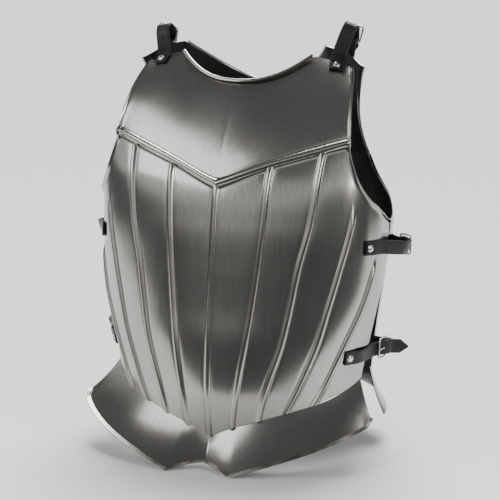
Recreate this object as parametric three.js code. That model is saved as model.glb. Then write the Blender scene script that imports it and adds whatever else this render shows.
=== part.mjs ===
/**
 * A steel cuirass: a fluted breastplate and a plain backplate, each with a flared skirt below the waist,
 * joined by buckled leather straps at the shoulders and the sides.
 *
 * Millimetres, +Z up. The front of the body faces -Y and the wearer's left side is +X. The cuirass stands on
 * the lower edges of its two skirts, at z = 0, and its bounding box is centred on the origin in x and y.
 */
import * as THREE from "three";

// The sheet steel.
const sheetThickness = 1.2;
const seatGap = 0.3;

// The breastplate's driving sizes.
const steelHeight = 536;
const chestHalfWidth = 199;
const chestDepth = 131;
const ovalCentreY = -45;
const sideRun = 100;

// The embossed beads on the breastplate.
const beadHalfWidth = 4.6;
const beadHeight = 3.2;
const ridgeHalfWidth = 5.2;
const ridgeHeight = 4;

// The turned edges.
const armholeFlange = 5;
const backArmFlange = 3;
const neckRoll = 3.4;

// The yoke, from the ridge to the neck and the shoulders.
const neckHalfWidth = 93;
const neckDrop = 35;
const neckReach = 15;
const neckEndDrop = 2;
const neckEndSetBack = 28;
const shoulderEndHalfWidth = 142;
const shoulderEndDrop = 16;
const shoulderEndSetBack = 36;
const neckShare = 0.64;
const yokeBulge = 6;
const yokeSideBulge = 11;

// The backplate's driving sizes.
const backInset = 5;
const backHalfWidth = chestHalfWidth - backInset;
const backDepth = 104;
const sideGap = 57;
const backCentreY = ovalCentreY + sideGap;
const backNeckDrop = 52;
const backNeckReach = 66;
const backShoulderRise = 10;
const backShoulderDrop = 11;
const shoulderGap = 18;
const shoulderOverhang = 9;
const backNeckShare = 0.66;
const backWaistHeight = 105;
const backWaistDrop = 32;
const backBulge = 6;
const backArmWaist = 9;
const bladeLipShare = 0.55;
const bladeLipOut = 8;
const bladeLipForward = 16;
const bladeLipDrop = 12;

// The skirts.
const skirtTuck = 12;
const skirtSideFlare = 29;
const skirtFrontFlare = 46;
const skirtCornerHeight = 61;
const skirtTipHeight = 3;
const skirtTipRound = 0.149;
const skirtCornerRound = 0.745;
const skirtCornerRadius = 7;
const skirtFullness = 1.8;
const skirtHollow = 4;
const skirtBorder = 5;
const skirtCreaseSetBack = 32;
const skirtCreaseHeight = 11;
const backSkirtFlare = 24;
const backSkirtSpineFlare = 34;
const backSkirtForward = 9;
const backSkirtCornerHeight = 42;
const footFlange = 5;
const footShare = 0.27;
const backSkirtArchShare = 0.41;
const backSkirtArchHeight = 62;

// The straps, buckles and rivets.
const strapWidth = 19;
const strapThickness = 2.6;
const buckleWire = 2.6;
const buckleLength = 20;
const buckleCorner = 2.5;
const buckleClearance = 2.4;
const rivetRadius = 4.8;
const rivetHeight = 2.8;
const rivetInset = 7;
const shoulderStrapShare = 0.86;
const upperStrapShare = 0.542;
const lowerStrapShare = 0.270;
const upperBuckleShare = 0.66;
const lowerBuckleShare = 0.415;
const shoulderBuckleShare = 0.58;
const strapPoint = 10;
const upperTail = 16;
const shoulderTail = 16;
const tailLift = 3;
const tailCurl = 1.25;

// The straps' loops over the shoulders and the lower straps' free tails, on the wearer's left and right.
const leftLoopHeight = 52;
const leftLoopLean = 19;
const leftTail = 26;
const leftTailLift = 13;
const rightLoopHeight = 41;
const rightLoopLean = 9;
const rightTail = 20;
const rightTailLift = 9;

/**
 * The breastplate's level sections. Each is half an oval, told by shares of the driving sizes: its height,
 * its half width, how far it stands forward and how full its corners are. The flute columns say where each
 * bead crosses the section, as a share of the way round from the centre (0) to the widest point (1), and
 * edge says where the plate ends. Past 1 the plate runs straight back, by that share of sideRun.
 */
const SECTIONS = [
  {
    height: 0.070, width: 0.870, depth: 0.950, fullness: 1.75, edge: 0.93,
    flutes: [0, 0.140, 0.272, 0.395, 0.520],
  },
  {
    height: 0.131, width: 0.874, depth: 0.980, fullness: 1.75, edge: 0.93,
    flutes: [0, 0.152, 0.284, 0.412, 0.538],
  },
  {
    height: 0.205, width: 0.890, depth: 1.000, fullness: 1.77, edge: 0.93,
    flutes: [0, 0.170, 0.315, 0.474, 0.622],
  },
  {
    height: 0.308, width: 0.945, depth: 0.972, fullness: 1.82, edge: 0.94,
    flutes: [0, 0.186, 0.354, 0.530, 0.700],
  },
  {
    height: 0.401, width: 0.985, depth: 0.913, fullness: 1.87, edge: 0.99,
    flutes: [0, 0.195, 0.369, 0.558, 0.785],
  },
  {
    height: 0.504, width: 1.000, depth: 0.855, fullness: 1.92, edge: 1.21,
    flutes: [0, 0.206, 0.391, 0.608, 0.885],
  },
  {
    height: 0.606, width: 1.000, depth: 0.794, fullness: 1.97, edge: 1.34,
    flutes: [0, 0.215, 0.433, 0.668, 0.985],
  },
  {
    height: 0.703, width: 0.990, depth: 0.710, fullness: 2.00, edge: 1.36,
    flutes: [0, 0.223, 0.458, 0.700, 1.020],
  },
  {
    height: 0.756, width: 0.985, depth: 0.603, fullness: 2.00, edge: 1.38,
    flutes: [0, 0.228, 0.470, 0.716, 1.030],
  },
  {
    height: 0.802, width: 0.985, depth: 0.473, fullness: 2.00, edge: 1.40,
    flutes: [0, 0.232, 0.476, 0.730, 1.040],
  },
];

/** The breastplate's lower edge, from its point at the centre to the side: way round and height. */
const WAIST_EDGE = [
  { round: 0.00, height: 0.078 },
  { round: 0.14, height: 0.103 },
  { round: 0.28, height: 0.124 },
  { round: 0.42, height: 0.142 },
  { round: 0.55, height: 0.156 },
  { round: 0.70, height: 0.174 },
  { round: 0.95, height: 0.207 },
];

/** The crest of the ridge, from its tip at the centre to the armhole: way round and height. */
const RIDGE_LINE = [
  { round: 0.000, height: 0.703 },
  { round: 0.227, height: 0.752 },
  { round: 0.474, height: 0.788 },
  { round: 0.598, height: 0.802 },
];

/** The breastplate's armhole below the ridge: way round and height. */
const ARMHOLE = [
  { round: 0.598, height: 0.802 },
  { round: 0.617, height: 0.774 },
  { round: 0.648, height: 0.743 },
  { round: 0.682, height: 0.713 },
  { round: 0.733, height: 0.683 },
  { round: 0.796, height: 0.658 },
  { round: 0.860, height: 0.642 },
  { round: 1.000, height: 0.613 },
  { round: 1.340, height: 0.582 },
];

/** The backplate's level sections, as shares of its sizes: height, half width, depth and fullness. */
const BACK_SECTIONS = [
  { height: 0.120, width: 0.868, depth: 0.74, fullness: 2.1 },
  { height: 0.200, width: 0.876, depth: 0.73, fullness: 2.1 },
  { height: 0.300, width: 0.903, depth: 0.78, fullness: 2.2 },
  { height: 0.400, width: 0.941, depth: 0.87, fullness: 2.3 },
  { height: 0.500, width: 0.970, depth: 0.95, fullness: 2.4 },
  { height: 0.585, width: 1.000, depth: 1.00, fullness: 2.4 },
  { height: 0.640, width: 0.955, depth: 1.00, fullness: 2.4 },
  { height: 0.680, width: 0.905, depth: 0.99, fullness: 2.4 },
  { height: 0.730, width: 0.870, depth: 0.97, fullness: 2.4 },
];

/** The backplate's armhole below the arm: way round and height. */
const BACK_ARMHOLE = [
  { round: 0.620, height: 0.728 },
  { round: 0.660, height: 0.700 },
  { round: 0.730, height: 0.668 },
  { round: 0.820, height: 0.640 },
  { round: 0.920, height: 0.612 },
  { round: 1.000, height: 0.588 },
];

const steel = () => new THREE.MeshStandardMaterial({ color: 0xa9a8a6, roughness: 0.28, metalness: 1 });
const leather = () => new THREE.MeshStandardMaterial({ color: 0x1a1a1b, roughness: 0.6, metalness: 0 });
const nickel = () => new THREE.MeshStandardMaterial({ color: 0xc9c9c7, roughness: 0.2, metalness: 1 });

const cuirass = new THREE.Group();

/** Adds one named solid to the cuirass. */
function addPiece(name, geometry, material) {
  const mesh = new THREE.Mesh(geometry, material);
  mesh.name = name;
  cuirass.add(mesh);
  return mesh;
}

/** Reads a column of a table at a value of its key column, on the smooth curve through the rows. */
function read(table, key, at, pick) {
  const last = table.length - 1;
  const x = THREE.MathUtils.clamp(at, table[0][key], table[last][key]);
  let i = 0;
  while (i < last - 1 && x > table[i + 1][key]) {
    i += 1;
  }
  const slope = (j) => {
    const a = Math.max(j - 1, 0);
    const b = Math.min(j + 1, last);
    return (pick(table[b]) - pick(table[a])) / (table[b][key] - table[a][key]);
  };
  const span = table[i + 1][key] - table[i][key];
  const s = (x - table[i][key]) / span;
  const s2 = s * s;
  const s3 = s2 * s;
  return (2 * s3 - 3 * s2 + 1) * pick(table[i]) + (s3 - 2 * s2 + s) * span * slope(i)
    + (3 * s2 - 2 * s3) * pick(table[i + 1]) + (s3 - s2) * span * slope(i + 1);
}

const mix = THREE.MathUtils.lerp;
const smooth = THREE.MathUtils.smoothstep;

/** A sheet of points joined by triangles that face outwards, which becomes a solid of even thickness. */
class Sheet {
  constructor() {
    this.points = [];
    this.faces = [];
  }

  /** Adds a point and returns its number. */
  add(point) {
    this.points.push(point);
    return this.points.length - 1;
  }

  /** Adds a four-sided face, anticlockwise seen from outside. */
  quad(a, b, c, d) {
    this.faces.push([a, b, c], [a, c, d]);
  }

  /** Joins two equally long lists of points, the second above the first. */
  strip(below, above) {
    for (let i = 0; i + 1 < below.length; i += 1) {
      this.quad(below[i], below[i + 1], above[i + 1], above[i]);
    }
  }

  /** The outward normal at each point. */
  normals() {
    const sums = this.points.map(() => new THREE.Vector3());
    const ab = new THREE.Vector3();
    const ac = new THREE.Vector3();
    for (const [a, b, c] of this.faces) {
      ab.subVectors(this.points[b], this.points[a]);
      ac.subVectors(this.points[c], this.points[a]);
      ab.cross(ac);
      sums[a].add(ab);
      sums[b].add(ab);
      sums[c].add(ab);
    }
    return sums.map((sum) => sum.normalize());
  }

  /**
   * Turns an edge outwards. The path holds the edge's points in order, with the sheet on its right-hand side
   * seen from outside. Each step is a length and an angle from the sheet's own plane towards its outer side.
   */
  turnEdge(path, steps) {
    const normals = this.normals();
    let previous = path;
    const frames = path.map((id, i) => {
      const before = this.points[path[Math.max(i - 1, 0)]];
      const after = this.points[path[Math.min(i + 1, path.length - 1)]];
      const along = new THREE.Vector3().subVectors(after, before).normalize();
      const outer = normals[id];
      const away = new THREE.Vector3().crossVectors(outer, along).normalize();
      return { away, outer };
    });
    for (const step of steps) {
      const angle = THREE.MathUtils.degToRad(step.angle);
      const row = previous.map((id, i) => {
        const point = this.points[id].clone();
        point.addScaledVector(frames[i].away, step.length * Math.cos(angle));
        point.addScaledVector(frames[i].outer, step.length * Math.sin(angle));
        return this.add(point);
      });
      this.strip(previous, row);
      previous = row;
    }
    return previous;
  }

  /** The closed solid, with this sheet as its outer face. */
  solid(thickness) {
    const count = this.points.length;
    const normals = this.normals();
    const inner = this.points.map((point, i) => point.clone().addScaledVector(normals[i], -thickness));
    const triangles = this.faces.slice();
    const edges = new Map();
    for (const face of this.faces) {
      triangles.push([face[2] + count, face[1] + count, face[0] + count]);
      for (let k = 0; k < 3; k += 1) {
        edges.set(`${face[k]} ${face[(k + 1) % 3]}`, [face[k], face[(k + 1) % 3]]);
      }
    }
    for (const [a, b] of edges.values()) {
      if (!edges.has(`${b} ${a}`)) {
        triangles.push([b, a, a + count], [b, a + count, b + count]);
      }
    }
    return closedBody(this.points.concat(inner), triangles);
  }
}

/** A geometry from points and triangles that share them. */
function closedBody(points, triangles) {
  const geometry = new THREE.BufferGeometry();
  geometry.setAttribute("position", new THREE.Float32BufferAttribute(points.flatMap((p) => p.toArray()), 3));
  geometry.setIndex(triangles.flat());
  geometry.computeVertexNormals();
  return geometry;
}

/** The breastplate's smooth surface at a way round (negative on the wearer's right) and a height. */
function chestPoint(round, z) {
  const share = z / steelHeight;
  const halfWidth = chestHalfWidth * read(SECTIONS, "height", share, (row) => row.width);
  const depth = chestDepth * read(SECTIONS, "height", share, (row) => row.depth);
  const power = 2 / read(SECTIONS, "height", share, (row) => row.fullness);
  const side = Math.sign(round) || 1;
  const way = Math.abs(round);
  if (way > 1) {
    return new THREE.Vector3(side * halfWidth, ovalCentreY + (way - 1) * sideRun, z);
  }
  const angle = way * Math.PI / 2;
  const x = side * halfWidth * Math.sin(angle) ** power;
  const y = ovalCentreY - depth * Math.max(Math.cos(angle), 0) ** power;
  return new THREE.Vector3(x, y, z);
}

/** The outward normal of the breastplate's smooth surface. */
function chestNormal(round, z) {
  const step = 0.004;
  const rise = 1;
  const across = new THREE.Vector3().subVectors(chestPoint(round + step, z), chestPoint(round - step, z));
  const up = new THREE.Vector3().subVectors(chestPoint(round, z + rise), chestPoint(round, z - rise));
  return across.cross(up).normalize();
}

const fluteCount = 4;
const beadRound = beadHalfWidth / (chestHalfWidth * Math.PI / 2);
const ridgeEnd = RIDGE_LINE[RIDGE_LINE.length - 1].round;

/**
 * The columns of the breastplate's mesh on one side, from the centre outwards. A column follows flute number
 * `flute`, a share of the way to the next one, and `root` moves it to one foot of the bead.
 */
const COLUMNS = [{ flute: 0, share: 0, root: 0 }, { flute: 0, share: 0, root: 1 }];
for (let flute = 1; flute <= fluteCount; flute += 1) {
  if (flute === 3) {
    COLUMNS.push({ flute: 2, share: 0.56, root: 0, ridgeEnd: true });
  }
  if (flute !== 3) {
    COLUMNS.push({ flute: flute - 1, share: 0.5, root: 0 });
  }
  COLUMNS.push({ flute, share: 0, root: -1 }, { flute, share: 0, root: 0 }, { flute, share: 0, root: 1 });
}
COLUMNS.push({ flute: fluteCount, share: 0.5, root: 0 }, { flute: fluteCount, share: 1, root: 0 });
const ridgeColumn = COLUMNS.findIndex((column) => column.ridgeEnd);

/** The way round of a column at a height. */
function columnRound(column, z) {
  const share = z / steelHeight;
  const at = (flute) => (flute > fluteCount
    ? read(SECTIONS, "height", share, (row) => row.edge)
    : read(SECTIONS, "height", share, (row) => row.flutes[flute]));
  return mix(at(column.flute), at(column.flute + 1), column.share) + column.root * beadRound;
}

/** The height at which a column meets a line given as way round against height. */
function meet(column, line) {
  let low = 0;
  let high = steelHeight * SECTIONS[SECTIONS.length - 1].height;
  for (let pass = 0; pass < 40; pass += 1) {
    const middle = (low + high) / 2;
    const target = steelHeight * read(line, "round", columnRound(column, middle), (row) => row.height);
    if (middle < target) {
      low = middle;
    } else {
      high = middle;
    }
  }
  return (low + high) / 2;
}

/** Where each flute starts and ends its fade, as shares of its length. The inner ones run up to the ridge. */
const FLUTE_FADES = [[1, 2], [1, 2], [1, 2], [0.80, 0.92], [0.68, 0.79]];

/** How far a flute stands out at a share of its length from the waist up: the outer ones fade at the top. */
function fluteRise(column, share) {
  if (column.root !== 0 || column.share !== 0) {
    return 0;
  }
  const [from, to] = FLUTE_FADES[column.flute];
  return beadHeight * (1 - smooth(share, from, to));
}

/** The neck and shoulder line of the breastplate, at a share of its length on one side. */
function topLine(share, side) {
  if (share <= neckShare) {
    const out = 1 - (1 - share / neckShare) ** 1.12;
    return new THREE.Vector3(
      side * neckHalfWidth * out,
      ovalCentreY + mix(-neckReach, neckEndSetBack, out ** 1.9),
      steelHeight - mix(neckDrop, neckEndDrop, out ** 2.4),
    );
  }
  const out = (share - neckShare) / (1 - neckShare);
  return new THREE.Vector3(
    side * mix(neckHalfWidth, shoulderEndHalfWidth, out),
    ovalCentreY + mix(neckEndSetBack, shoulderEndSetBack, out),
    steelHeight - mix(neckEndDrop, shoulderEndDrop, out ** 1.3),
  );
}

/** The shares of the neck and shoulder line at which the yoke's columns end. */
const YOKE_SHARES = [0, 0.03, 0.18, 0.36, 0.385, 0.41, neckShare, 0.76, 0.785, 0.81, 1];

/** The point under the crest of the ridge at a share of the yoke's width. */
function ridgeFoot(share, side) {
  const index = Math.max(YOKE_SHARES.findIndex((value) => value >= share), 1);
  const [a, b] = [index - 1, index].map((i) => {
    const crest = meet(COLUMNS[i], RIDGE_LINE);
    return chestPoint(side * columnRound(COLUMNS[i], crest), crest);
  });
  return a.lerp(b, (share - YOKE_SHARES[index - 1]) / (YOKE_SHARES[index] - YOKE_SHARES[index - 1]));
}

/** The yoke's surface at a share of its width and of its rise from the ridge to the neck or shoulder. */
function yokePoint(share, side, rise) {
  const foot = ridgeFoot(share, side);
  const top = topLine(share, side);
  const point = new THREE.Vector3().lerpVectors(foot, top, rise);
  const bulge = mix(yokeBulge, yokeSideBulge, share) * 4 * rise * (1 - rise);
  const outward = new THREE.Vector3(side * 0.3 * share, -1, 0.35).normalize();
  return point.addScaledVector(outward, bulge);
}

/** The breastplate: beaded panels, a smooth yoke above the ridge, turned armholes and a rolled neck. */
function breastplateSheet() {
  const sheet = new Sheet();
  const sides = [];
  for (let i = COLUMNS.length - 1; i > 0; i -= 1) {
    sides.push({ side: -1, index: i });
  }
  for (let i = 0; i < COLUMNS.length; i += 1) {
    sides.push({ side: 1, index: i });
  }
  const panelRows = 17;
  const panels = [];
  for (let row = 0; row <= panelRows; row += 1) {
    panels.push([]);
  }
  const ridge = [[], [], []];
  const yokeRows = 6;
  const yoke = [];
  for (let row = 0; row < yokeRows; row += 1) {
    yoke.push([]);
  }
  for (const { side, index } of sides) {
    const column = COLUMNS[index];
    const bottom = meet(column, WAIST_EDGE);
    const underRidge = index <= ridgeColumn;
    const top = meet(column, underRidge ? RIDGE_LINE : ARMHOLE) - (underRidge ? ridgeHalfWidth : 0);
    for (let row = 0; row <= panelRows; row += 1) {
      const share = row / panelRows;
      const z = mix(bottom, top, share);
      const round = side * columnRound(column, z);
      const point = chestPoint(round, z).addScaledVector(chestNormal(round, z), fluteRise(column, share));
      if (row === panelRows && underRidge) {
        point.copy(chestPoint(round, z));
      }
      panels[row].push(sheet.add(point));
    }
    if (underRidge) {
      const crest = top + ridgeHalfWidth;
      const round = side * columnRound(column, crest);
      const crestPoint = chestPoint(round, crest).addScaledVector(chestNormal(round, crest), ridgeHeight);
      const share = YOKE_SHARES[index];
      const footRise = ridgeHalfWidth / (steelHeight - crest);
      ridge[0].push(panels[panelRows][panels[panelRows].length - 1]);
      ridge[1].push(sheet.add(crestPoint));
      ridge[2].push(sheet.add(yokePoint(share, side, footRise)));
      for (let row = 0; row < yokeRows; row += 1) {
        yoke[row].push(sheet.add(yokePoint(share, side, mix(footRise, 1, (row + 1) / yokeRows))));
      }
    }
  }
  for (let row = 0; row < panelRows; row += 1) {
    sheet.strip(panels[row], panels[row + 1]);
  }
  sheet.strip(ridge[0], ridge[1]);
  sheet.strip(ridge[1], ridge[2]);
  sheet.strip(ridge[2], yoke[0]);
  for (let row = 0; row + 1 < yokeRows; row += 1) {
    sheet.strip(yoke[row], yoke[row + 1]);
  }
  const upright = ridge.slice(1).concat(yoke);
  const brim = panels[panelRows];
  const cut = COLUMNS.length - 1 - ridgeColumn;
  const rightArm = brim.slice(0, cut + 1).concat(upright.map((row) => row[0]));
  const leftArm = upright.map((row) => row[row.length - 1]).reverse().concat(brim.slice(-cut - 1));
  const shoulderLine = yoke[yokeRows - 1];
  const neckFrom = YOKE_SHARES.length - 1 - YOKE_SHARES.indexOf(neckShare);
  const neck = shoulderLine.slice(neckFrom, shoulderLine.length - neckFrom);
  return { sheet, rightArm, leftArm, neck };
}

/** The breastplate as one solid. */
function makeBreastplate() {
  const { sheet, rightArm, leftArm, neck } = breastplateSheet();
  const flange = [{ length: armholeFlange, angle: 55 }];
  sheet.turnEdge(rightArm, flange);
  sheet.turnEdge(leftArm, flange);
  sheet.turnEdge(neck, [{ length: neckRoll, angle: 30 }, { length: neckRoll, angle: 100 }]);
  return sheet.solid(sheetThickness);
}

/**
 * The front skirt: tucked up inside the breastplate, then flared to a rim of two lobes. The lobes meet in a
 * crease at the centre, where the rim is cut away in a scallop.
 */
function makeFrontSkirt() {
  const sheet = new Sheet();
  const tuckDepth = sheetThickness + 2 * seatGap;
  const half = COLUMNS.filter((column) => column.flute === 0 || column.share > 0 || column.root !== 0);
  const feet = half.map((column) => ({ column, waist: meet(column, WAIST_EDGE) }));
  const endRound = columnRound(feet[feet.length - 1].column, feet[feet.length - 1].waist);
  const tipFoot = feet.find(({ column }) => column.flute === 1 && column.root === 1);
  const tipShare = columnRound(tipFoot.column, tipFoot.waist) / endRound;
  const ways = feet.slice(1).reverse().map((entry) => ({ side: -1, ...entry }));
  ways.push(...feet.map((entry) => ({ side: 1, ...entry })));
  const tip = skirtRim(skirtTipRound, 1);
  const rows = [[], [], [], [], [], []];
  const rims = [];
  for (const { side, column, waist } of ways) {
    const share = columnRound(column, waist) / endRound;
    const round = side * columnRound(column, waist);
    const upperRound = side * columnRound(column, waist + skirtTuck);
    const tucked = chestPoint(upperRound, waist + skirtTuck)
      .addScaledVector(chestNormal(upperRound, waist + skirtTuck), -tuckDepth);
    const seat = chestPoint(round, waist).addScaledVector(chestNormal(round, waist), -tuckDepth);
    const rim = new THREE.Vector3();
    if (share < tipShare) {
      const out = share / tipShare;
      rim.set(
        side * tip.x * out,
        mix(ovalCentreY - chestDepth - skirtFrontFlare + skirtCreaseSetBack, tip.y, out ** 1.1),
        mix(skirtCreaseHeight, tip.z, out ** 2.2),
      );
    } else {
      rim.copy(skirtRim(mix(skirtTipRound, skirtCornerRound, (share - tipShare) / (1 - tipShare)), side));
    }
    const cutBack = skirtBorder * 0.8 + smooth(share, 0.93, 1) * skirtCornerRadius;
    rim.lerp(seat, cutBack / rim.distanceTo(seat));
    rows[0].push(sheet.add(tucked));
    rows[1].push(sheet.add(seat));
    for (let row = 2; row < 6; row += 1) {
      const down = (row - 1) / 4;
      const point = new THREE.Vector3().lerpVectors(seat, rim, down);
      const sag = skirtHollow * 4 * down * (1 - down);
      point.add(new THREE.Vector3(-side * sag * share * 0.6, sag * 0.7, -sag * 0.4));
      rows[row].push(sheet.add(point));
    }
    rims.push(rows[5][rows[5].length - 1]);
  }
  for (let row = 0; row < 5; row += 1) {
    sheet.strip(rows[row + 1], rows[row]);
  }
  sheet.turnEdge(rims.slice().reverse(), [{ length: skirtBorder, angle: 24 }]);
  return sheet.solid(sheetThickness);
}

/** A point on the front skirt's rim, at a way round its own oval. */
function skirtRim(round, side) {
  const angle = round * Math.PI / 2;
  const power = 2 / skirtFullness;
  const along = (round - skirtTipRound) / (skirtCornerRound - skirtTipRound);
  return new THREE.Vector3(
    side * (chestHalfWidth + skirtSideFlare) * Math.sin(angle) ** power,
    ovalCentreY - (chestDepth + skirtFrontFlare) * Math.cos(angle) ** power,
    mix(skirtTipHeight, skirtCornerHeight, Math.max(along, 0) ** 0.96),
  );
}

/** The backplate's smooth surface at a way round from the spine and a height. */
function backPoint(round, z) {
  const share = z / steelHeight;
  const halfWidth = backHalfWidth * read(BACK_SECTIONS, "height", share, (row) => row.width);
  const depth = backDepth * read(BACK_SECTIONS, "height", share, (row) => row.depth);
  const power = 2 / read(BACK_SECTIONS, "height", share, (row) => row.fullness);
  const side = Math.sign(round) || 1;
  const angle = Math.min(Math.abs(round), 1) * Math.PI / 2;
  return new THREE.Vector3(
    side * halfWidth * Math.sin(angle) ** power,
    backCentreY + depth * Math.max(Math.cos(angle), 0) ** power,
    z,
  );
}

/** The outward normal of the backplate's smooth surface. */
function backNormal(round, z) {
  const step = 0.004;
  const rise = 1;
  const across = new THREE.Vector3().subVectors(backPoint(round - step, z), backPoint(round + step, z));
  const up = new THREE.Vector3().subVectors(backPoint(round, z + rise), backPoint(round, z - rise));
  return across.cross(up).normalize();
}

/** The height of the backplate's lower edge, which dips a little towards the spine. */
function backWaist(round) {
  return backWaistHeight - backWaistDrop * Math.cos(round * Math.PI / 2) ** 1.5;
}

/** The backplate's neck and shoulder line at a share of one side. Its end is a lip turned forward. */
function backTopLine(share, side) {
  const shoulderY = ovalCentreY + shoulderEndSetBack + shoulderGap;
  const inner = neckHalfWidth + shoulderOverhang;
  if (share <= backNeckShare) {
    const out = share / backNeckShare;
    return new THREE.Vector3(
      side * inner * out,
      mix(backCentreY + backNeckReach, shoulderY, out ** 2.6),
      steelHeight + mix(-backNeckDrop, backShoulderRise, out ** 1.9),
    );
  }
  const out = (share - backNeckShare) / (1 - backNeckShare);
  const lip = smooth(out, bladeLipShare, 1);
  return new THREE.Vector3(
    side * (mix(inner, shoulderEndHalfWidth + shoulderOverhang, out) + bladeLipOut * lip),
    shoulderY - bladeLipForward * lip,
    steelHeight + backShoulderRise - backShoulderDrop * out - bladeLipDrop * lip,
  );
}

/** The ways round of the backplate's columns, from the spine to the armhole, and the top line's shares. */
const BACK_COLUMNS = [
  { round: 0, top: 0 },
  { round: 0.10, top: 0.16 },
  { round: 0.20, top: 0.33 },
  { round: footShare, top: 0.44 },
  { round: 0.31, top: 0.50 },
  { round: 0.35, top: 0.56 },
  { round: backSkirtArchShare, top: backNeckShare },
  { round: 0.46, top: 0.745 },
  { round: 0.51, top: 0.83 },
  { round: 0.57, top: 0.92 },
  { round: 0.62, top: 1 },
  { round: 0.68, top: null },
  { round: 0.76, top: null },
  { round: 0.84, top: null },
  { round: 0.92, top: null },
  { round: 1.00, top: null },
];

/** The backplate's surface above the armholes' feet, at a share of the top line and of the rise to it. */
function upperBackPoint(share, side, rise) {
  const armhole = BACK_COLUMNS.filter((column) => column.top !== null);
  const round = read(armhole, "top", share, (column) => column.round);
  const foot = backPoint(side * round, steelHeight * BACK_ARMHOLE[0].height);
  const point = foot.lerp(backTopLine(share, side), rise);
  const bulge = 4 * rise * (1 - rise);
  point.x -= side * backArmWaist * bulge * share ** 3;
  point.y += mix(backBulge, -backArmWaist, share ** 3) * bulge;
  return point;
}

/** The backplate: one plain sheet with turned armholes and neck. */
function makeBackplate() {
  const sheet = new Sheet();
  const panelRows = 14;
  const upperRows = 7;
  const columns = [];
  for (let i = BACK_COLUMNS.length - 1; i > 0; i -= 1) {
    columns.push({ side: 1, ...BACK_COLUMNS[i] });
  }
  for (const column of BACK_COLUMNS) {
    columns.push({ side: -1, ...column });
  }
  const rows = Array.from({ length: panelRows + 1 }, () => []);
  const upper = Array.from({ length: upperRows }, () => []);
  const armTop = steelHeight * BACK_ARMHOLE[0].height;
  for (const { side, round, top } of columns) {
    const bottom = backWaist(round);
    const height = top === null
      ? steelHeight * read(BACK_ARMHOLE, "round", round, (row) => row.height)
      : armTop;
    for (let row = 0; row <= panelRows; row += 1) {
      rows[row].push(sheet.add(backPoint(side * round, mix(bottom, height, row / panelRows))));
    }
    if (top !== null) {
      for (let row = 0; row < upperRows; row += 1) {
        upper[row].push(sheet.add(upperBackPoint(top, side, (row + 1) / upperRows)));
      }
    }
  }
  for (let row = 0; row < panelRows; row += 1) {
    sheet.strip(rows[row], rows[row + 1]);
  }
  const last = BACK_COLUMNS.length - 1;
  const arm = BACK_COLUMNS.findIndex((column) => column.top === 1);
  const cut = last - arm;
  const brim = rows[panelRows];
  sheet.strip(brim.slice(cut, brim.length - cut), upper[0]);
  for (let row = 0; row + 1 < upperRows; row += 1) {
    sheet.strip(upper[row], upper[row + 1]);
  }
  const flange = [{ length: backArmFlange, angle: 60 }];
  sheet.turnEdge(brim.slice(0, cut + 1).concat(upper.map((row) => row[0])), flange);
  const farArm = upper.map((row) => row[row.length - 1]).reverse();
  sheet.turnEdge(farArm.concat(brim.slice(-cut - 1)), flange);
  const shoulder = upper[upperRows - 1];
  const neckFrom = arm - BACK_COLUMNS.findIndex((column) => column.top === backNeckShare);
  sheet.turnEdge(shoulder.slice(neckFrom, shoulder.length - neckFrom), [{ length: neckRoll, angle: 50 }]);
  return sheet.solid(sheetThickness);
}

/** The height of the back skirt's rim: a foot at the spine, an arch beside it, then down to the corner. */
function backRimHeight(share, floor) {
  if (share < backSkirtArchShare) {
    return mix(floor + sheetThickness, backSkirtArchHeight, smooth(share, footShare, backSkirtArchShare));
  }
  return mix(backSkirtArchHeight, backSkirtCornerHeight, smooth(share, backSkirtArchShare, 1));
}

/** The back skirt: tucked up inside the backplate, then flared to a rim whose middle is a flat foot. */
function makeBackSkirt(floor) {
  const sheet = new Sheet();
  const tuckDepth = sheetThickness + 2 * seatGap;
  const rounds = BACK_COLUMNS.map((column) => column.round);
  const ways = rounds.slice(1).reverse().concat(rounds.map((round) => -round));
  const rows = [[], [], [], [], [], []];
  const foot = [];
  for (const way of ways) {
    const waist = backWaist(Math.abs(way));
    const normal = backNormal(way, waist);
    const tucked = backPoint(way, waist + skirtTuck).addScaledVector(backNormal(way, waist), -tuckDepth);
    const seat = backPoint(way, waist).addScaledVector(normal, -tuckDepth);
    const share = Math.abs(way);
    const flat = normal.clone().setZ(0).normalize();
    const flare = mix(backSkirtSpineFlare, backSkirtFlare, smooth(share, footShare, 1));
    const rim = seat.clone().addScaledVector(flat, flare);
    rim.y -= backSkirtForward * smooth(share, 0.7, 1);
    rim.z = backRimHeight(share, floor);
    rows[0].push(sheet.add(tucked));
    rows[1].push(sheet.add(seat));
    for (let row = 2; row < 6; row += 1) {
      const down = (row - 1) / 4;
      const point = new THREE.Vector3().lerpVectors(seat, rim, down);
      point.addScaledVector(flat, -skirtHollow * 4 * down * (1 - down) * 0.6);
      rows[row].push(sheet.add(point));
    }
    if (share <= footShare) {
      foot.push({ rim, flat, id: rows[5][rows[5].length - 1] });
    }
  }
  for (let row = 0; row < 5; row += 1) {
    sheet.strip(rows[row + 1], rows[row]);
  }
  let above = foot.map((entry) => entry.id);
  for (const reach of [footFlange * 0.3, footFlange]) {
    const row = foot.map(({ rim, flat }) => sheet.add(rim.clone().addScaledVector(flat, reach)));
    sheet.strip(row, above);
    above = row;
  }
  return sheet.solid(sheetThickness);
}

/** A closed body swept through rings of points, with flat ends. */
function sweep(rings) {
  const points = rings.flat();
  const size = rings[0].length;
  const triangles = [];
  for (let i = 0; i + 1 < rings.length; i += 1) {
    for (let k = 0; k < size; k += 1) {
      const a = i * size + k;
      const b = i * size + (k + 1) % size;
      triangles.push([a, b, b + size], [a, b + size, a + size]);
    }
  }
  const end = (rings.length - 1) * size;
  for (let k = 1; k + 1 < size; k += 1) {
    triangles.push([0, k + 1, k], [end, end + k, end + k + 1]);
  }
  return closedBody(points, triangles);
}

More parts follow.
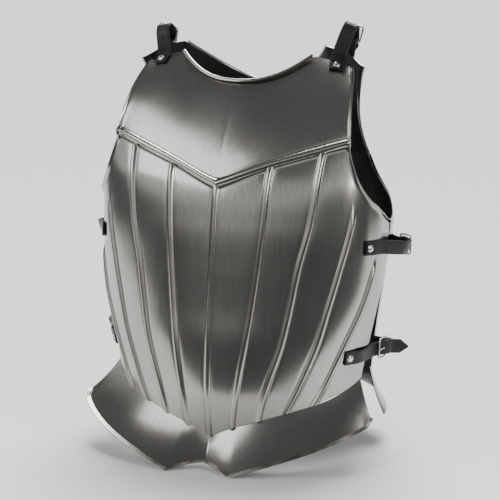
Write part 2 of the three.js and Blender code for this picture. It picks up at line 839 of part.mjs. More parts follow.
/** A closed ring of round wire through a closed list of points. */
function wireLoop(path, radius, sides, normal) {
  const points = [];
  const triangles = [];
  const count = path.length;
  path.forEach((point, i) => {
    const before = path[(i + count - 1) % count];
    const after = path[(i + 1) % count];
    const along = new THREE.Vector3().subVectors(after, before).normalize();
    const out = new THREE.Vector3().crossVectors(along, normal);
    for (let k = 0; k < sides; k += 1) {
      const angle = 2 * Math.PI * k / sides;
      points.push(point.clone().addScaledVector(out, radius * Math.cos(angle))
        .addScaledVector(normal, radius * Math.sin(angle)));
      const a = i * sides + k;
      const b = i * sides + (k + 1) % sides;
      const c = ((i + 1) % count) * sides + k;
      const d = ((i + 1) % count) * sides + (k + 1) % sides;
      triangles.push([a, c, d], [a, d, b]);
    }
  });
  return closedBody(points, triangles);
}

/** The width of a strap's pointed tip, as a share of the strap's width. */
const strapTipShare = 0.14;

/** A leather strap along stations that each carry a width direction, a normal and a share of full width. */
function makeStrap(stations) {
  const rings = stations.map(({ point, width, normal, taper }) => {
    const half = strapWidth / 2 * taper;
    const corner = (across, up) => point.clone().addScaledVector(width, across * half)
      .addScaledVector(normal, up * strapThickness / 2);
    return [corner(-1, -1), corner(1, -1), corner(1, 1), corner(-1, 1)];
  });
  return sweep(rings);
}

/** A domed rivet head on a surface. */
function makeRivet(seat, normal) {
  const rim = 0.6;
  const profile = [
    new THREE.Vector2(0, 0),
    new THREE.Vector2(rivetRadius, 0),
    new THREE.Vector2(rivetRadius, rim),
  ];
  for (const turn of [35, 62]) {
    const angle = THREE.MathUtils.degToRad(turn);
    const height = rim + (rivetHeight - rim) * Math.sin(angle);
    profile.push(new THREE.Vector2(rivetRadius * Math.cos(angle), height));
  }
  profile.push(new THREE.Vector2(0, rivetHeight));
  const head = new THREE.LatheGeometry(profile, 10);
  head.applyQuaternion(new THREE.Quaternion().setFromUnitVectors(new THREE.Vector3(0, 1, 0), normal));
  head.translate(seat.x, seat.y, seat.z);
  return head;
}

addPiece("breastplate", makeBreastplate(), steel());
const frontSkirt = addPiece("front_skirt", makeFrontSkirt(), steel());
frontSkirt.geometry.computeBoundingBox();
const floorLevel = frontSkirt.geometry.boundingBox.min.z;
addPiece("backplate", makeBackplate(), steel());
addPiece("back_skirt", makeBackSkirt(floorLevel), steel());

/** A smooth curve through a strap's points, each with its width direction, read by length from its start. */
class Route {
  constructor(places) {
    this.curve = new THREE.CatmullRomCurve3(places.map((place) => place.point), false, "centripetal");
    this.curve.arcLengthDivisions = 400;
    this.length = this.curve.getLength();
    this.widths = places.map((place) => place.width.clone().normalize());
  }

  /** The point, normal and direction at a length along the route, moved off it by an offset. */
  at(length, offset) {
    const share = THREE.MathUtils.clamp(length / this.length, 0, 1);
    const along = this.curve.getTangentAt(share);
    const spot = this.curve.getUtoTmapping(share) * (this.widths.length - 1);
    const index = Math.min(Math.floor(spot), this.widths.length - 2);
    const guide = this.widths[index].clone().lerp(this.widths[index + 1], spot - index);
    const normal = new THREE.Vector3().crossVectors(along, guide).normalize();
    const width = new THREE.Vector3().crossVectors(normal, along).normalize();
    const past = length - share * this.length;
    const point = this.curve.getPointAt(share).addScaledVector(along, past).addScaledVector(normal, offset);
    return { point, along, normal, width };
  }
}

/** How a strap passes its buckle, as shares of the buckle's length or of the radius of its wrap. */
const climbShare = 0.3;
const crestShare = 0.4;
const wrapStart = 1.6;
const wrapReturn = 5;

/** A point moved along one direction and then along another. */
function offset(point, first, firstBy, second, secondBy) {
  return point.clone().addScaledVector(first, firstBy).addScaledVector(second, secondBy);
}

/** The prong's root as a share of the buckle's length, and its ends past the bar in wire radii. */
const prongRoot = 0.05;
const prongRise = 2.2;
const prongReach = 1.5;

/**
 * One strap set: a front strap from the breastplate, a back strap from the backplate, and the buckle and
 * prong that join them. The route runs from the front strap's end to the back strap's end, its normals
 * outwards. The buckle sits at a share of it, and the front strap's pointed tail runs on past it and lifts
 * off. A straight tail keeps the direction in which it leaves the buckle, and another one follows the route.
 */
function addStrapSet(name, route, { buckleShare, tail, lift, straight }) {
  const buckleAt = route.length * buckleShare;
  const wire = buckleWire / 2;
  const half = strapThickness / 2;
  const wrap = wire + 2 * seatGap + half;
  const heel = buckleAt + buckleLength / 2;
  const toe = buckleAt - buckleLength / 2;
  const over = wrap + 2 * half + 2 * seatGap;
  const climbFrom = toe - buckleLength * climbShare;
  const riseAt = (length) => over * smooth(length, climbFrom, heel - wrap * crestShare);

  const front = [];
  const frontSteps = 16;
  const frontEnd = heel + tail;
  const leave = heel + wrap;
  const left = route.at(leave, riseAt(leave));
  for (let i = 0; i <= frontSteps; i += 1) {
    const atTip = i === frontSteps;
    const length = atTip ? frontEnd : (frontEnd - strapPoint) * i / (frontSteps - 1);
    const beyond = Math.max(length - leave, 0);
    const rise = lift * (beyond / (frontEnd - leave)) ** tailCurl;
    const station = straight && beyond > 0
      ? { ...left, point: offset(left.point, left.along, beyond, left.normal, rise) }
      : route.at(length, riseAt(length) + rise);
    front.push({ ...station, taper: atTip ? strapTipShare : 1 });
  }
  addPiece(`${name}_front_strap`, makeStrap(front), leather());

  const back = [];
  const backSteps = 9;
  const bar = route.at(heel, 0);
  for (let i = 0; i <= backSteps; i += 1) {
    const length = mix(route.length, heel + wrap * wrapStart, i / backSteps);
    const station = route.at(length, -wrap * (1 - smooth(length, heel, heel + wrap * wrapReturn)));
    back.push({ ...station, normal: station.normal.clone().negate(), taper: 1 });
  }
  const wrapSteps = 6;
  for (let i = 0; i <= wrapSteps; i += 1) {
    const angle = Math.PI * i / wrapSteps;
    const outward = offset(new THREE.Vector3(), bar.normal, -Math.cos(angle), bar.along, -Math.sin(angle));
    const point = bar.point.clone().addScaledVector(outward, wrap);
    back.push({ point, normal: outward, width: bar.width, taper: 1 });
  }
  addPiece(`${name}_back_strap`, makeStrap(back), leather());

  const toeBar = route.at(toe, riseAt(toe) + half + 5 * seatGap + wire);
  const across = bar.width.clone().multiplyScalar(strapWidth / 2 + buckleClearance + wire);
  const legs = new THREE.Vector3().subVectors(toeBar.point, bar.point).normalize();
  const loop = [];
  for (const [end, turn] of [[toeBar.point, 1], [bar.point, -1]]) {
    const outer = end.clone().addScaledVector(across, turn);
    const inner = end.clone().addScaledVector(across, -turn);
    const acrossStep = across.clone().normalize().multiplyScalar(buckleCorner * turn);
    const legStep = legs.clone().multiplyScalar(-buckleCorner * turn);
    loop.push(outer.clone().add(legStep), outer.clone().sub(acrossStep));
    loop.push(inner.clone().add(acrossStep), inner.clone().add(legStep));
  }
  const face = new THREE.Vector3().crossVectors(bar.width, legs).normalize();
  addPiece(`${name}_buckle`, wireLoop(loop, wire, 6, face), nickel());

  const prongRadius = wire * 0.75;
  const prongStart = buckleAt - buckleLength * prongRoot;
  const overBar = toe + wire * prongRise;
  const prongEnd = toe - wire * prongReach;
  const onBar = riseAt(toe) + half + 6 * seatGap + 2 * wire + prongRadius;
  const prongSteps = 4;
  const prong = [];
  for (let i = 0; i <= prongSteps; i += 1) {
    const length = mix(prongStart, prongEnd, i / prongSteps);
    const onStrap = riseAt(length) + half + 2 * seatGap + prongRadius;
    const climb = THREE.MathUtils.clamp((prongStart - length) / (prongStart - overBar), 0, 1);
    const station = route.at(length, mix(onStrap, Math.max(onBar, onStrap), climb));
    const ring = [];
    for (let k = 0; k < 6; k += 1) {
      const angle = Math.PI * 2 * k / 6;
      ring.push(station.point.clone().addScaledVector(station.width, -prongRadius * Math.cos(angle))
        .addScaledVector(station.normal, prongRadius * Math.sin(angle)));
    }
    prong.push(ring);
  }
  addPiece(`${name}_prong`, sweep(prong), nickel());

  for (const [end, length] of [["front", rivetInset], ["back", route.length - rivetInset]]) {
    const seat = route.at(length, half + 1.5 * seatGap);
    addPiece(`${name}_${end}_rivet`, makeRivet(seat.point, seat.normal), nickel());
  }
}

/** A place for a strap on or just off a surface given across and up, with the surface's directions. */
function onSurface(surface, across, up, off) {
  const step = 0.01;
  const alongAcross = new THREE.Vector3().subVectors(surface(across + step, up), surface(across - step, up));
  const alongUp = new THREE.Vector3().subVectors(surface(across, up + step), surface(across, up - step));
  const normal = new THREE.Vector3().crossVectors(alongAcross, alongUp).normalize();
  const point = surface(across, up).addScaledVector(normal, strapThickness / 2 + 2 * seatGap + off);
  return { point, alongAcross, alongUp };
}

/**
 * The side straps' courses. Each starts on the breastplate and ends on the backplate, where a row gives the
 * way round; between them it stands free, where a row gives shares of the chest's half width and of the side
 * gap. The drop is a share of the strap's width, lean is how far the strap's upper edge tips outwards, as a
 * slope, and off is how many clearances it stands off the plate.
 */
const UPPER_COURSE = [
  { chest: 0.768, drop: -0.10, off: 1 },
  { chest: 0.850, drop: -0.05, off: 1 },
  { chest: 0.930, drop: 0.00, off: 4 },
  { out: 1.070, back: 0.16, drop: 0.21, lean: 0.10 },
  { out: 1.117, back: 0.44, drop: 0.37, lean: 0.30 },
  { out: 1.128, back: 0.72, drop: 0.44, lean: 0.35 },
  { out: 1.098, back: 1.02, drop: 0.52, lean: 0.20 },
  { out: 1.035, back: 1.28, drop: 0.62, lean: 0.05 },
  { blade: 0.84, drop: 0.66, off: 7 },
  { blade: 0.74, drop: 0.62, off: 2 },
  { blade: 0.66, drop: 0.58, off: 2 },
];
const LOWER_COURSE = [
  { chest: 0.715, drop: 0.00, off: 1 },
  { chest: 0.770, drop: 0.00, off: 1 },
  { chest: 0.820, drop: 0.00, off: 6 },
  { out: 0.955, back: 0.12, drop: -0.05, lean: 0 },
  { out: 1.000, back: 0.47, drop: -0.08, lean: 0 },
  { out: 1.008, back: 0.75, drop: 0.12, lean: 0 },
  { out: 0.970, back: 1.14, drop: 0.38, lean: 0 },
  { blade: 0.84, drop: 0.56, off: 10 },
  { blade: 0.74, drop: 0.64, off: 2 },
  { blade: 0.66, drop: 0.70, off: 2 },
];

/** The route of a side strap at a height. */
function sideRoute(course, side, height) {
  const places = course.map(({ chest, blade, out, back, drop, lean, off }) => {
    const z = height - drop * strapWidth;
    if (out !== undefined) {
      const point = new THREE.Vector3(side * out * chestHalfWidth, ovalCentreY + back * sideGap, z);
      return { point, width: new THREE.Vector3(lean, 0, side) };
    }
    const place = chest !== undefined
      ? onSurface(chestPoint, side * chest, z, off * seatGap)
      : onSurface((across, up) => backPoint(-across, up), -side * blade, z, off * seatGap);
    return { point: place.point, width: place.alongUp.multiplyScalar(side) };
  });
  return new Route(places);
}

/**
 * A shoulder strap's course: up the yoke, over the gap as an upright loop, and down the backplate. Where it
 * stands free a row gives shares of the shoulder gap and of the loop's height.
 */
const SHOULDER_COURSE = [
  { yoke: 0.895, off: 1 },
  { yoke: 0.950, off: 1 },
  { yoke: 0.998, off: 3 },
  { back: -0.06, rise: 0.24 },
  { back: 0.03, rise: 0.50 },
  { back: 0.17, rise: 0.78 },
  { back: 0.56, rise: 1.00 },
  { back: 1.11, rise: 0.98 },
  { back: 1.44, rise: 0.76 },
  { blade: 0.99, off: 9 },
  { blade: 0.94, off: 5 },
  { blade: 0.82, off: 2 },
  { blade: 0.72, off: 2 },
];

/** The route of a shoulder strap, whose loop leans outwards and stands up by its own height. */
function shoulderRoute(side, { leanAngle, loopHeight }) {
  const lean = THREE.MathUtils.degToRad(leanAngle);
  const up = new THREE.Vector3(side * Math.sin(lean), 0, Math.cos(lean));
  const across = new THREE.Vector3(-Math.cos(lean), 0, side * Math.sin(lean));
  const foot = topLine(shoulderStrapShare, side);
  const onYoke = (share, rise) => yokePoint(Math.abs(share), side, rise);
  const onBlade = (share, rise) => upperBackPoint(Math.abs(share), side, rise);
  const places = SHOULDER_COURSE.map(({ yoke, blade, back, rise, off }) => {
    if (yoke !== undefined) {
      const place = onSurface(onYoke, side * shoulderStrapShare, yoke, off * seatGap);
      return { point: place.point, width: place.alongAcross.negate() };
    }
    if (blade !== undefined) {
      const place = onSurface(onBlade, -side * shoulderStrapShare, blade, off * seatGap);
      return { point: place.point, width: place.alongAcross };
    }
    const point = foot.clone().addScaledVector(up, rise * loopHeight);
    point.y += back * shoulderGap;
    return { point, width: across };
  });
  return new Route(places);
}

const SIDES = [
  {
    side: 1, wearer: "left", loop: { leanAngle: leftLoopLean, loopHeight: leftLoopHeight },
    lower: { tail: leftTail, lift: leftTailLift },
  },
  {
    side: -1, wearer: "right", loop: { leanAngle: rightLoopLean, loopHeight: rightLoopHeight },
    lower: { tail: rightTail, lift: rightTailLift },
  },
];
for (const { side, wearer, loop, lower } of SIDES) {
  addStrapSet(`${wearer}_upper_side`, sideRoute(UPPER_COURSE, side, steelHeight * upperStrapShare), {
    buckleShare: upperBuckleShare,
    tail: upperTail,
    lift: tailLift,
    straight: false,
  });
  addStrapSet(`${wearer}_lower_side`, sideRoute(LOWER_COURSE, side, steelHeight * lowerStrapShare), {
    buckleShare: lowerBuckleShare,
    straight: true,
    ...lower,
  });
  addStrapSet(`${wearer}_shoulder`, shoulderRoute(side, loop), {
    buckleShare: shoulderBuckleShare,
    tail: shoulderTail,
    lift: tailLift,
    straight: false,
  });
}

const box = new THREE.Box3().setFromObject(cuirass);
const middle = box.getCenter(new THREE.Vector3());
cuirass.position.set(-middle.x, -middle.y, -box.min.z);

export default cuirass;
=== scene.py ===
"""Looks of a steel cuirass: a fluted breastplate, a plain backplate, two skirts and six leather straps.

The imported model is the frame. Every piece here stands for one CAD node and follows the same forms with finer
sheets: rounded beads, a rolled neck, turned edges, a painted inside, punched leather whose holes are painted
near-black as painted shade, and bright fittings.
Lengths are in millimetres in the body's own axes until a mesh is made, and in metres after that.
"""

import logging
import math
from dataclasses import dataclass, field
from enum import Enum
from typing import Callable, Iterable

import bpy
import numpy as np
from mathutils import Matrix


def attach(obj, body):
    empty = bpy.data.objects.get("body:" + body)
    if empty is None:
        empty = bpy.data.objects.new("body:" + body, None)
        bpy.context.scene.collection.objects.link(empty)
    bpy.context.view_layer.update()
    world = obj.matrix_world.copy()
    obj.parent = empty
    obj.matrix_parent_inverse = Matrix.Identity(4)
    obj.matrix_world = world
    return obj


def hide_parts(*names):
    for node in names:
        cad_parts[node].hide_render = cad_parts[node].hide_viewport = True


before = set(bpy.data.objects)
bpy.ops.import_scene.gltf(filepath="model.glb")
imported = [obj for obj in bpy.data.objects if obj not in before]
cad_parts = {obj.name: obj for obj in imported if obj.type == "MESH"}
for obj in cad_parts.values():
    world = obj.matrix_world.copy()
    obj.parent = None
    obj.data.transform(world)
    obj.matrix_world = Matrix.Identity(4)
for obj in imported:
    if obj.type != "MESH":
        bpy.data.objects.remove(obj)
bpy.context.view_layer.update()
LOG = logging.getLogger("cuirass")

Array = np.ndarray
Corner = tuple[float, float, float]
MILLIMETRE = 0.001
BODY_TO_PART = np.array([0.0, 46.425, -3.320])


class Slot(Enum):
    """The record's material slots."""

    STEEL = "steel"
    LEATHER = "leather"
    FITTINGS = "fittings"


class Wearer(Enum):
    """The wearer's side of a strap, with its sign along X."""

    LEFT = 1
    RIGHT = -1

    @property
    def word(self) -> str:
        """The side's name as the CAD nodes spell it."""
        return self.name.lower()


# Small mathematics.


def unit(vectors: Array) -> Array:
    """Vectors scaled to length 1 along the last axis."""
    lengths = np.linalg.norm(vectors, axis=-1, keepdims=True)
    return vectors / np.maximum(lengths, 1e-12)


def smooth(values: Array | float, low: float, high: float) -> Array | float:
    """A smooth step from 0 at low to 1 at high."""
    share = np.clip((np.asarray(values, dtype=float) - low) / (high - low), 0.0, 1.0)
    return share * share * (3.0 - 2.0 * share)


def mix(low: Array | float, high: Array | float, share: Array | float) -> Array | float:
    """The value a share of the way from low to high."""
    return low + (high - low) * share


class Curve:
    """A smooth curve through the rows of a table, read at one or many keys."""

    def __init__(self, rows: Iterable[tuple[float, float]]) -> None:
        """Keeps the rows and works out the slope at each.

        Args:
            rows: Pairs of key and value, keys rising.
        """
        table = np.array(list(rows), dtype=float)
        self.keys, self.values = table[:, 0], table[:, 1]
        last = len(self.keys) - 1
        before = np.maximum(np.arange(last + 1) - 1, 0)
        after = np.minimum(np.arange(last + 1) + 1, last)
        self.slopes = (self.values[after] - self.values[before]) / (self.keys[after] - self.keys[before])

    def __call__(self, at: Array | float) -> Array:
        """Reads the curve.

        Args:
            at: Keys, held to the table's range.

        Returns:
            The curve's values there.
        """
        x = np.clip(np.asarray(at, dtype=float), self.keys[0], self.keys[-1])
        i = np.clip(np.searchsorted(self.keys, x, side="left") - 1, 0, len(self.keys) - 2)
        span = self.keys[i + 1] - self.keys[i]
        s = (x - self.keys[i]) / span
        s2, s3 = s * s, s * s * s
        return ((2 * s3 - 3 * s2 + 1) * self.values[i] + (s3 - 2 * s2 + s) * span * self.slopes[i]
                + (3 * s2 - 2 * s3) * self.values[i + 1] + (s3 - s2) * span * self.slopes[i + 1])


# The forms of the plates.


@dataclass(frozen=True)
class Sizes:
    """The cuirass's driving sizes in millimetres, as the CAD model has them."""

    sheet: float = 1.2
    gap: float = 0.3
    height: float = 536.0
    chest_half_width: float = 199.0
    chest_depth: float = 131.0
    oval_y: float = -45.0
    side_run: float = 100.0
    bead_half_width: float = 4.6
    bead_height: float = 3.2
    ridge_half_width: float = 5.2
    ridge_height: float = 4.0
    neck_half_width: float = 93.0
    neck_share: float = 0.64
    shoulder_half_width: float = 142.0
    # At the centre, the neck's corner and the shoulder's end.
    neck_back: Corner = (-15.0, 28.0, 36.0)
    neck_drop: Corner = (35.0, 2.0, 16.0)
    yoke_bulge: float = 6.0
    yoke_side_bulge: float = 11.0
    back_half_width: float = 194.0
    back_depth: float = 104.0
    back_y: float = 12.0
    back_neck_share: float = 0.66
    back_neck_half_width: float = 102.0
    back_shoulder_half_width: float = 151.0
    # At the spine and at the neck's corner.
    back_neck_y: tuple[float, float] = (78.0, 9.0)
    back_neck_rise: tuple[float, float] = (-52.0, 10.0)
    back_shoulder_fall: float = 11.0
    back_bulge: float = 6.0
    back_arm_waist: float = 9.0
    blade_lip_share: float = 0.55
    blade_lip_out: float = 8.0
    blade_lip_forward: float = 16.0
    blade_lip_drop: float = 12.0
    back_waist: float = 105.0
    back_waist_drop: float = 32.0
    tuck: float = 12.0
    skirt_side: float = 29.0
    skirt_front: float = 46.0
    skirt_border: float = 5.0
    skirt_hollow: float = 4.0


SIZES = Sizes()
WAY_STEP = 0.004
RIDGE_END_HEIGHT = 0.802

CHEST_ROWS = (
    # height, width, depth, fullness, flutes from the centre to the side, edge
    (0.070, 0.870, 0.950, 1.75, 0.0, 0.140, 0.272, 0.395, 0.520, 0.93),
    (0.131, 0.874, 0.980, 1.75, 0.0, 0.152, 0.284, 0.412, 0.538, 0.93),
    (0.205, 0.890, 1.000, 1.77, 0.0, 0.170, 0.315, 0.474, 0.622, 0.93),
    (0.308, 0.945, 0.972, 1.82, 0.0, 0.186, 0.354, 0.530, 0.700, 0.94),
    (0.401, 0.985, 0.913, 1.87, 0.0, 0.195, 0.369, 0.558, 0.785, 0.99),
    (0.504, 1.000, 0.855, 1.92, 0.0, 0.206, 0.391, 0.608, 0.885, 1.21),
    (0.606, 1.000, 0.794, 1.97, 0.0, 0.215, 0.433, 0.668, 0.985, 1.34),
    (0.703, 0.990, 0.710, 2.00, 0.0, 0.223, 0.458, 0.700, 1.020, 1.36),
    (0.756, 0.985, 0.603, 2.00, 0.0, 0.228, 0.470, 0.716, 1.030, 1.38),
    (0.802, 0.985, 0.473, 2.00, 0.0, 0.232, 0.476, 0.730, 1.040, 1.40),
)
WAIST_EDGE = Curve([(0.00, 0.078), (0.14, 0.103), (0.28, 0.124), (0.42, 0.142), (0.55, 0.156), (0.70, 0.174),
                    (0.95, 0.207)])
RIDGE_LINE = Curve([(0.0, 0.703), (0.227, 0.752), (0.474, 0.788), (0.598, 0.802)])
ARMHOLE = Curve([(0.598, 0.802), (0.617, 0.774), (0.648, 0.743), (0.682, 0.713), (0.733, 0.683),
                 (0.796, 0.658), (0.860, 0.642), (1.000, 0.613), (1.340, 0.582)])
BACK_ROWS = (
    # height, width, depth, fullness
    (0.120, 0.868, 0.74, 2.1),
    (0.200, 0.876, 0.73, 2.1),
    (0.300, 0.903, 0.78, 2.2),
    (0.400, 0.941, 0.87, 2.3),
    (0.500, 0.970, 0.95, 2.4),
    (0.585, 1.000, 1.00, 2.4),
    (0.640, 0.955, 1.00, 2.4),
    (0.680, 0.905, 0.99, 2.4),
    (0.730, 0.870, 0.97, 2.4),
)
BACK_ARMHOLE = Curve([(0.620, 0.728), (0.660, 0.700), (0.730, 0.668), (0.820, 0.640), (0.920, 0.612),
                      (1.000, 0.588)])
BACK_TOP_WAYS = Curve([(0.0, 0.0), (0.16, 0.10), (0.33, 0.20), (0.44, 0.27), (0.50, 0.31), (0.56, 0.35),
                       (0.66, 0.41), (0.745, 0.46), (0.83, 0.51), (0.92, 0.57), (1.0, 0.62)])
YOKE_WAYS = Curve([(0.0, 0.0), (0.385, 0.228), (0.785, 0.475), (1.0, 0.598)])
FLUTE_FADES = ((1.0, 2.0), (1.0, 2.0), (1.0, 2.0), (0.80, 0.92), (0.68, 0.79))


class ChestForm:
    """The breastplate's smooth form: level half ovals, a yoke above the ridge, and the lines on them."""

    def __init__(self, sizes: Sizes) -> None:
        """Reads the table of sections.

        Args:
            sizes: The driving sizes.
        """
        self.sizes = sizes
        column = [Curve([(row[0], row[i]) for row in CHEST_ROWS]) for i in range(1, 10)]
        self.width, self.depth, self.fullness = column[:3]
        self.lines = column[3:]

    def point(self, way: Array | float, z: Array | float) -> Array:
        """Points of the smooth surface.

        Args:
            way: Ways round from the centre, negative on the wearer's right.
            z: Heights.

        Returns:
            Points, one for each pair.
        """
        way, z = np.broadcast_arrays(np.asarray(way, dtype=float), np.asarray(z, dtype=float))
        share = z / self.sizes.height
        half = self.sizes.chest_half_width * self.width(share)
        depth = self.sizes.chest_depth * self.depth(share)
        power = 2.0 / self.fullness(share)
        side = np.where(way < 0, -1.0, 1.0)
        angle = np.minimum(np.abs(way), 1.0) * math.pi / 2
        past = np.maximum(np.abs(way) - 1.0, 0.0)
        x = side * half * np.sin(angle) ** power
        y = self.sizes.oval_y - depth * np.maximum(np.cos(angle), 0.0) ** power + past * self.sizes.side_run
        return np.stack([x, y, z], axis=-1)

    def normal(self, way: Array | float, z: Array | float) -> Array:
        """Outward normals of the smooth surface, for ways and heights."""
        across = self.point(way + WAY_STEP, z) - self.point(way - WAY_STEP, z)
        up = self.point(way, z + 1.0) - self.point(way, z - 1.0)
        return unit(np.cross(across, up))

    def line(self, flute: float, z: Array | float) -> Array:
        """The way round of a flute, or of a place between two, at heights."""
        index = min(int(flute), len(self.lines) - 2)
        share = np.asarray(z) / self.sizes.height
        return mix(self.lines[index](share), self.lines[index + 1](share), flute - index)

    def foot(self, flute: int, bead: float, z: Array | float) -> Array:
        """The way round of a place on or beside a bead.

        Args:
            flute: The flute's number, 0 at the centre.
            bead: The place, in half widths of the bead from its crest, outwards positive.
            z: Heights.

        Returns:
            Ways round, on the wearer's left.
        """
        z = np.asarray(z, dtype=float)
        reach = bead * self.sizes.bead_half_width
        share = z / self.sizes.height
        if flute == 0:
            half = self.sizes.chest_half_width * self.width(share)
            return 2 / math.pi * np.arcsin((abs(reach) / half) ** (self.fullness(share) / 2))
        centre = self.line(flute, z)
        run = self.point(centre + WAY_STEP, z) - self.point(centre - WAY_STEP, z)
        pace = np.linalg.norm(run, axis=-1) / (2 * WAY_STEP)
        return centre + reach / pace

    def top_line(self, share: Array | float) -> Array:
        """Points of the neck and shoulder line on the wearer's left, at shares of its length."""
        share = np.asarray(share, dtype=float)
        size = self.sizes
        neck = 1 - (1 - np.clip(share / size.neck_share, 0, 1)) ** 1.12
        out = np.clip((share - size.neck_share) / (1 - size.neck_share), 0, 1)
        on_neck = share <= size.neck_share
        shoulder = mix(size.neck_half_width, size.shoulder_half_width, out)
        x = np.where(on_neck, size.neck_half_width * neck, shoulder)
        back, drop = size.neck_back, size.neck_drop
        y = size.oval_y + np.where(on_neck, mix(*back[:2], neck ** 1.9), mix(*back[1:], out))
        z = size.height - np.where(on_neck, mix(*drop[:2], neck ** 2.4), mix(*drop[1:], out ** 1.3))
        return np.stack([x, y, z], axis=-1)

    def yoke(self, foot: Array, share: Array | float, rise: Array | float) -> Array:
        """Points of the yoke on the wearer's left.

        Args:
            foot: Points under the ridge's crest.
            share: Shares of the neck and shoulder line.
            rise: Shares of the way from the ridge to that line.

        Returns:
            Points of the yoke's smooth surface.
        """
        share, rise = np.asarray(share, dtype=float), np.asarray(rise, dtype=float)
        point = mix(foot, self.top_line(share), rise[..., None])
        bulge = mix(self.sizes.yoke_bulge, self.sizes.yoke_side_bulge, share) * 4 * rise * (1 - rise)
        outward = unit(np.stack([0.3 * share, -np.ones_like(share), np.full_like(share, 0.35)], axis=-1))
        return point + outward * bulge[..., None]


class BackForm:
    """The backplate's smooth form: level half ovals, and a blade above the armholes' feet."""

    def __init__(self, sizes: Sizes) -> None:
        """Reads the table of sections.

        Args:
            sizes: The driving sizes.
        """
        self.sizes = sizes
        curves = [Curve([(row[0], row[i]) for row in BACK_ROWS]) for i in (1, 2, 3)]
        self.width, self.depth, self.fullness = curves
        self.arm_top = sizes.height * 0.728

    def point(self, way: Array | float, z: Array | float) -> Array:
        """Points of the surface at ways round from the spine, positive on the wearer's left, and heights."""
        way, z = np.broadcast_arrays(np.asarray(way, dtype=float), np.asarray(z, dtype=float))
        share = z / self.sizes.height
        power = 2.0 / self.fullness(share)
        side = np.where(way < 0, -1.0, 1.0)
        angle = np.minimum(np.abs(way), 1.0) * math.pi / 2
        x = side * self.sizes.back_half_width * self.width(share) * np.sin(angle) ** power
        depth = self.sizes.back_depth * self.depth(share)
        y = self.sizes.back_y + depth * np.maximum(np.cos(angle), 0.0) ** power
        return np.stack([x, y, z], axis=-1)

    def normal(self, way: Array | float, z: Array | float) -> Array:
        """Outward normals of the smooth surface, for ways and heights."""
        across = self.point(way - WAY_STEP, z) - self.point(way + WAY_STEP, z)
        up = self.point(way, z + 1.0) - self.point(way, z - 1.0)
        return unit(np.cross(across, up))

    def waist(self, way: Array | float) -> Array:
        """The height of the lower edge, which dips towards the spine."""
        dip = np.maximum(np.cos(np.asarray(way) * math.pi / 2), 0.0) ** 1.5
        return self.sizes.back_waist - self.sizes.back_waist_drop * dip

    def top_line(self, share: Array | float) -> Array:
        """Points of the neck and shoulder line on the wearer's left, at shares of its length."""
        share = np.asarray(share, dtype=float)
        size = self.sizes
        limit = size.back_neck_share
        neck, out = np.clip(share / limit, 0, 1), np.clip((share - limit) / (1 - limit), 0, 1)
        on_neck = share <= limit
        lip = smooth(out, size.blade_lip_share, 1.0)
        half, corner_y, corner_rise = size.back_neck_half_width, size.back_neck_y[1], size.back_neck_rise[1]
        shoulder = mix(half, size.back_shoulder_half_width, out) + size.blade_lip_out * lip
        x = np.where(on_neck, half * neck, shoulder)
        y = np.where(on_neck, mix(*size.back_neck_y, neck ** 2.6), corner_y - size.blade_lip_forward * lip)
        drop = size.back_shoulder_fall * out + size.blade_lip_drop * lip
        z = size.height + np.where(on_neck, mix(*size.back_neck_rise, neck ** 1.9), corner_rise - drop)
        return np.stack([x, y, z], axis=-1)

    def blade(self, share: Array | float, rise: Array | float) -> Array:
        """Points of the upper surface on the wearer's left, at shares of the top line and of its rise."""
        share, rise = np.broadcast_arrays(np.asarray(share, dtype=float), np.asarray(rise, dtype=float))
        foot = self.point(BACK_TOP_WAYS(share), self.arm_top)
        point = mix(foot, self.top_line(share), rise[..., None])
        bulge = 4 * rise * (1 - rise)
        point[..., 0] -= self.sizes.back_arm_waist * bulge * share ** 3
        point[..., 1] += mix(self.sizes.back_bulge, -self.sizes.back_arm_waist, share ** 3) * bulge
        return point


CHEST = ChestForm(SIZES)
BACK = BackForm(SIZES)


# Meshes.


def make_object(name: str, points: Array, faces: Array | list, materials: list, kinds: Iterable[int] = (),
                uvs: Array | None = None) -> bpy.types.Object:
    """Makes a smooth-shaded mesh object from body-frame points.

    Args:
        name: The object's name.
        points: Points in millimetres in the body's axes.
        faces: Faces as lists of point numbers.
        materials: The object's materials.
        kinds: The material number of each face, all 0 if empty.
        uvs: Surface coordinates for each point, if the finish needs them.

    Returns:
        The object, linked to the scene.
    """
    mesh = bpy.data.meshes.new(name)
    mesh.from_pydata(((points + BODY_TO_PART) * MILLIMETRE).tolist(), [], [list(face) for face in faces])
    for material in materials:
        mesh.materials.append(material)
    kinds = list(kinds)
    if kinds:
        mesh.polygons.foreach_set("material_index", kinds)
    mesh.polygons.foreach_set("use_smooth", [True] * len(mesh.polygons))
    if uvs is not None:
        layer = mesh.uv_layers.new(name="strap")
        corners = np.empty(len(mesh.loops), dtype=np.int32)
        mesh.loops.foreach_get("vertex_index", corners)
        layer.data.foreach_set("uv", uvs[corners].astype(np.float32).ravel())
    mesh.validate()
    mesh.update()
    item = bpy.data.objects.new(name, mesh)
    bpy.context.scene.collection.objects.link(item)
    return item


def place(item: bpy.types.Object, node: str, slot: Slot) -> bpy.types.Object:
    """Lets an object ride the root body and stand for a CAD node, whose own part it hides."""
    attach(item, "root")
    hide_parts(node)
    return item


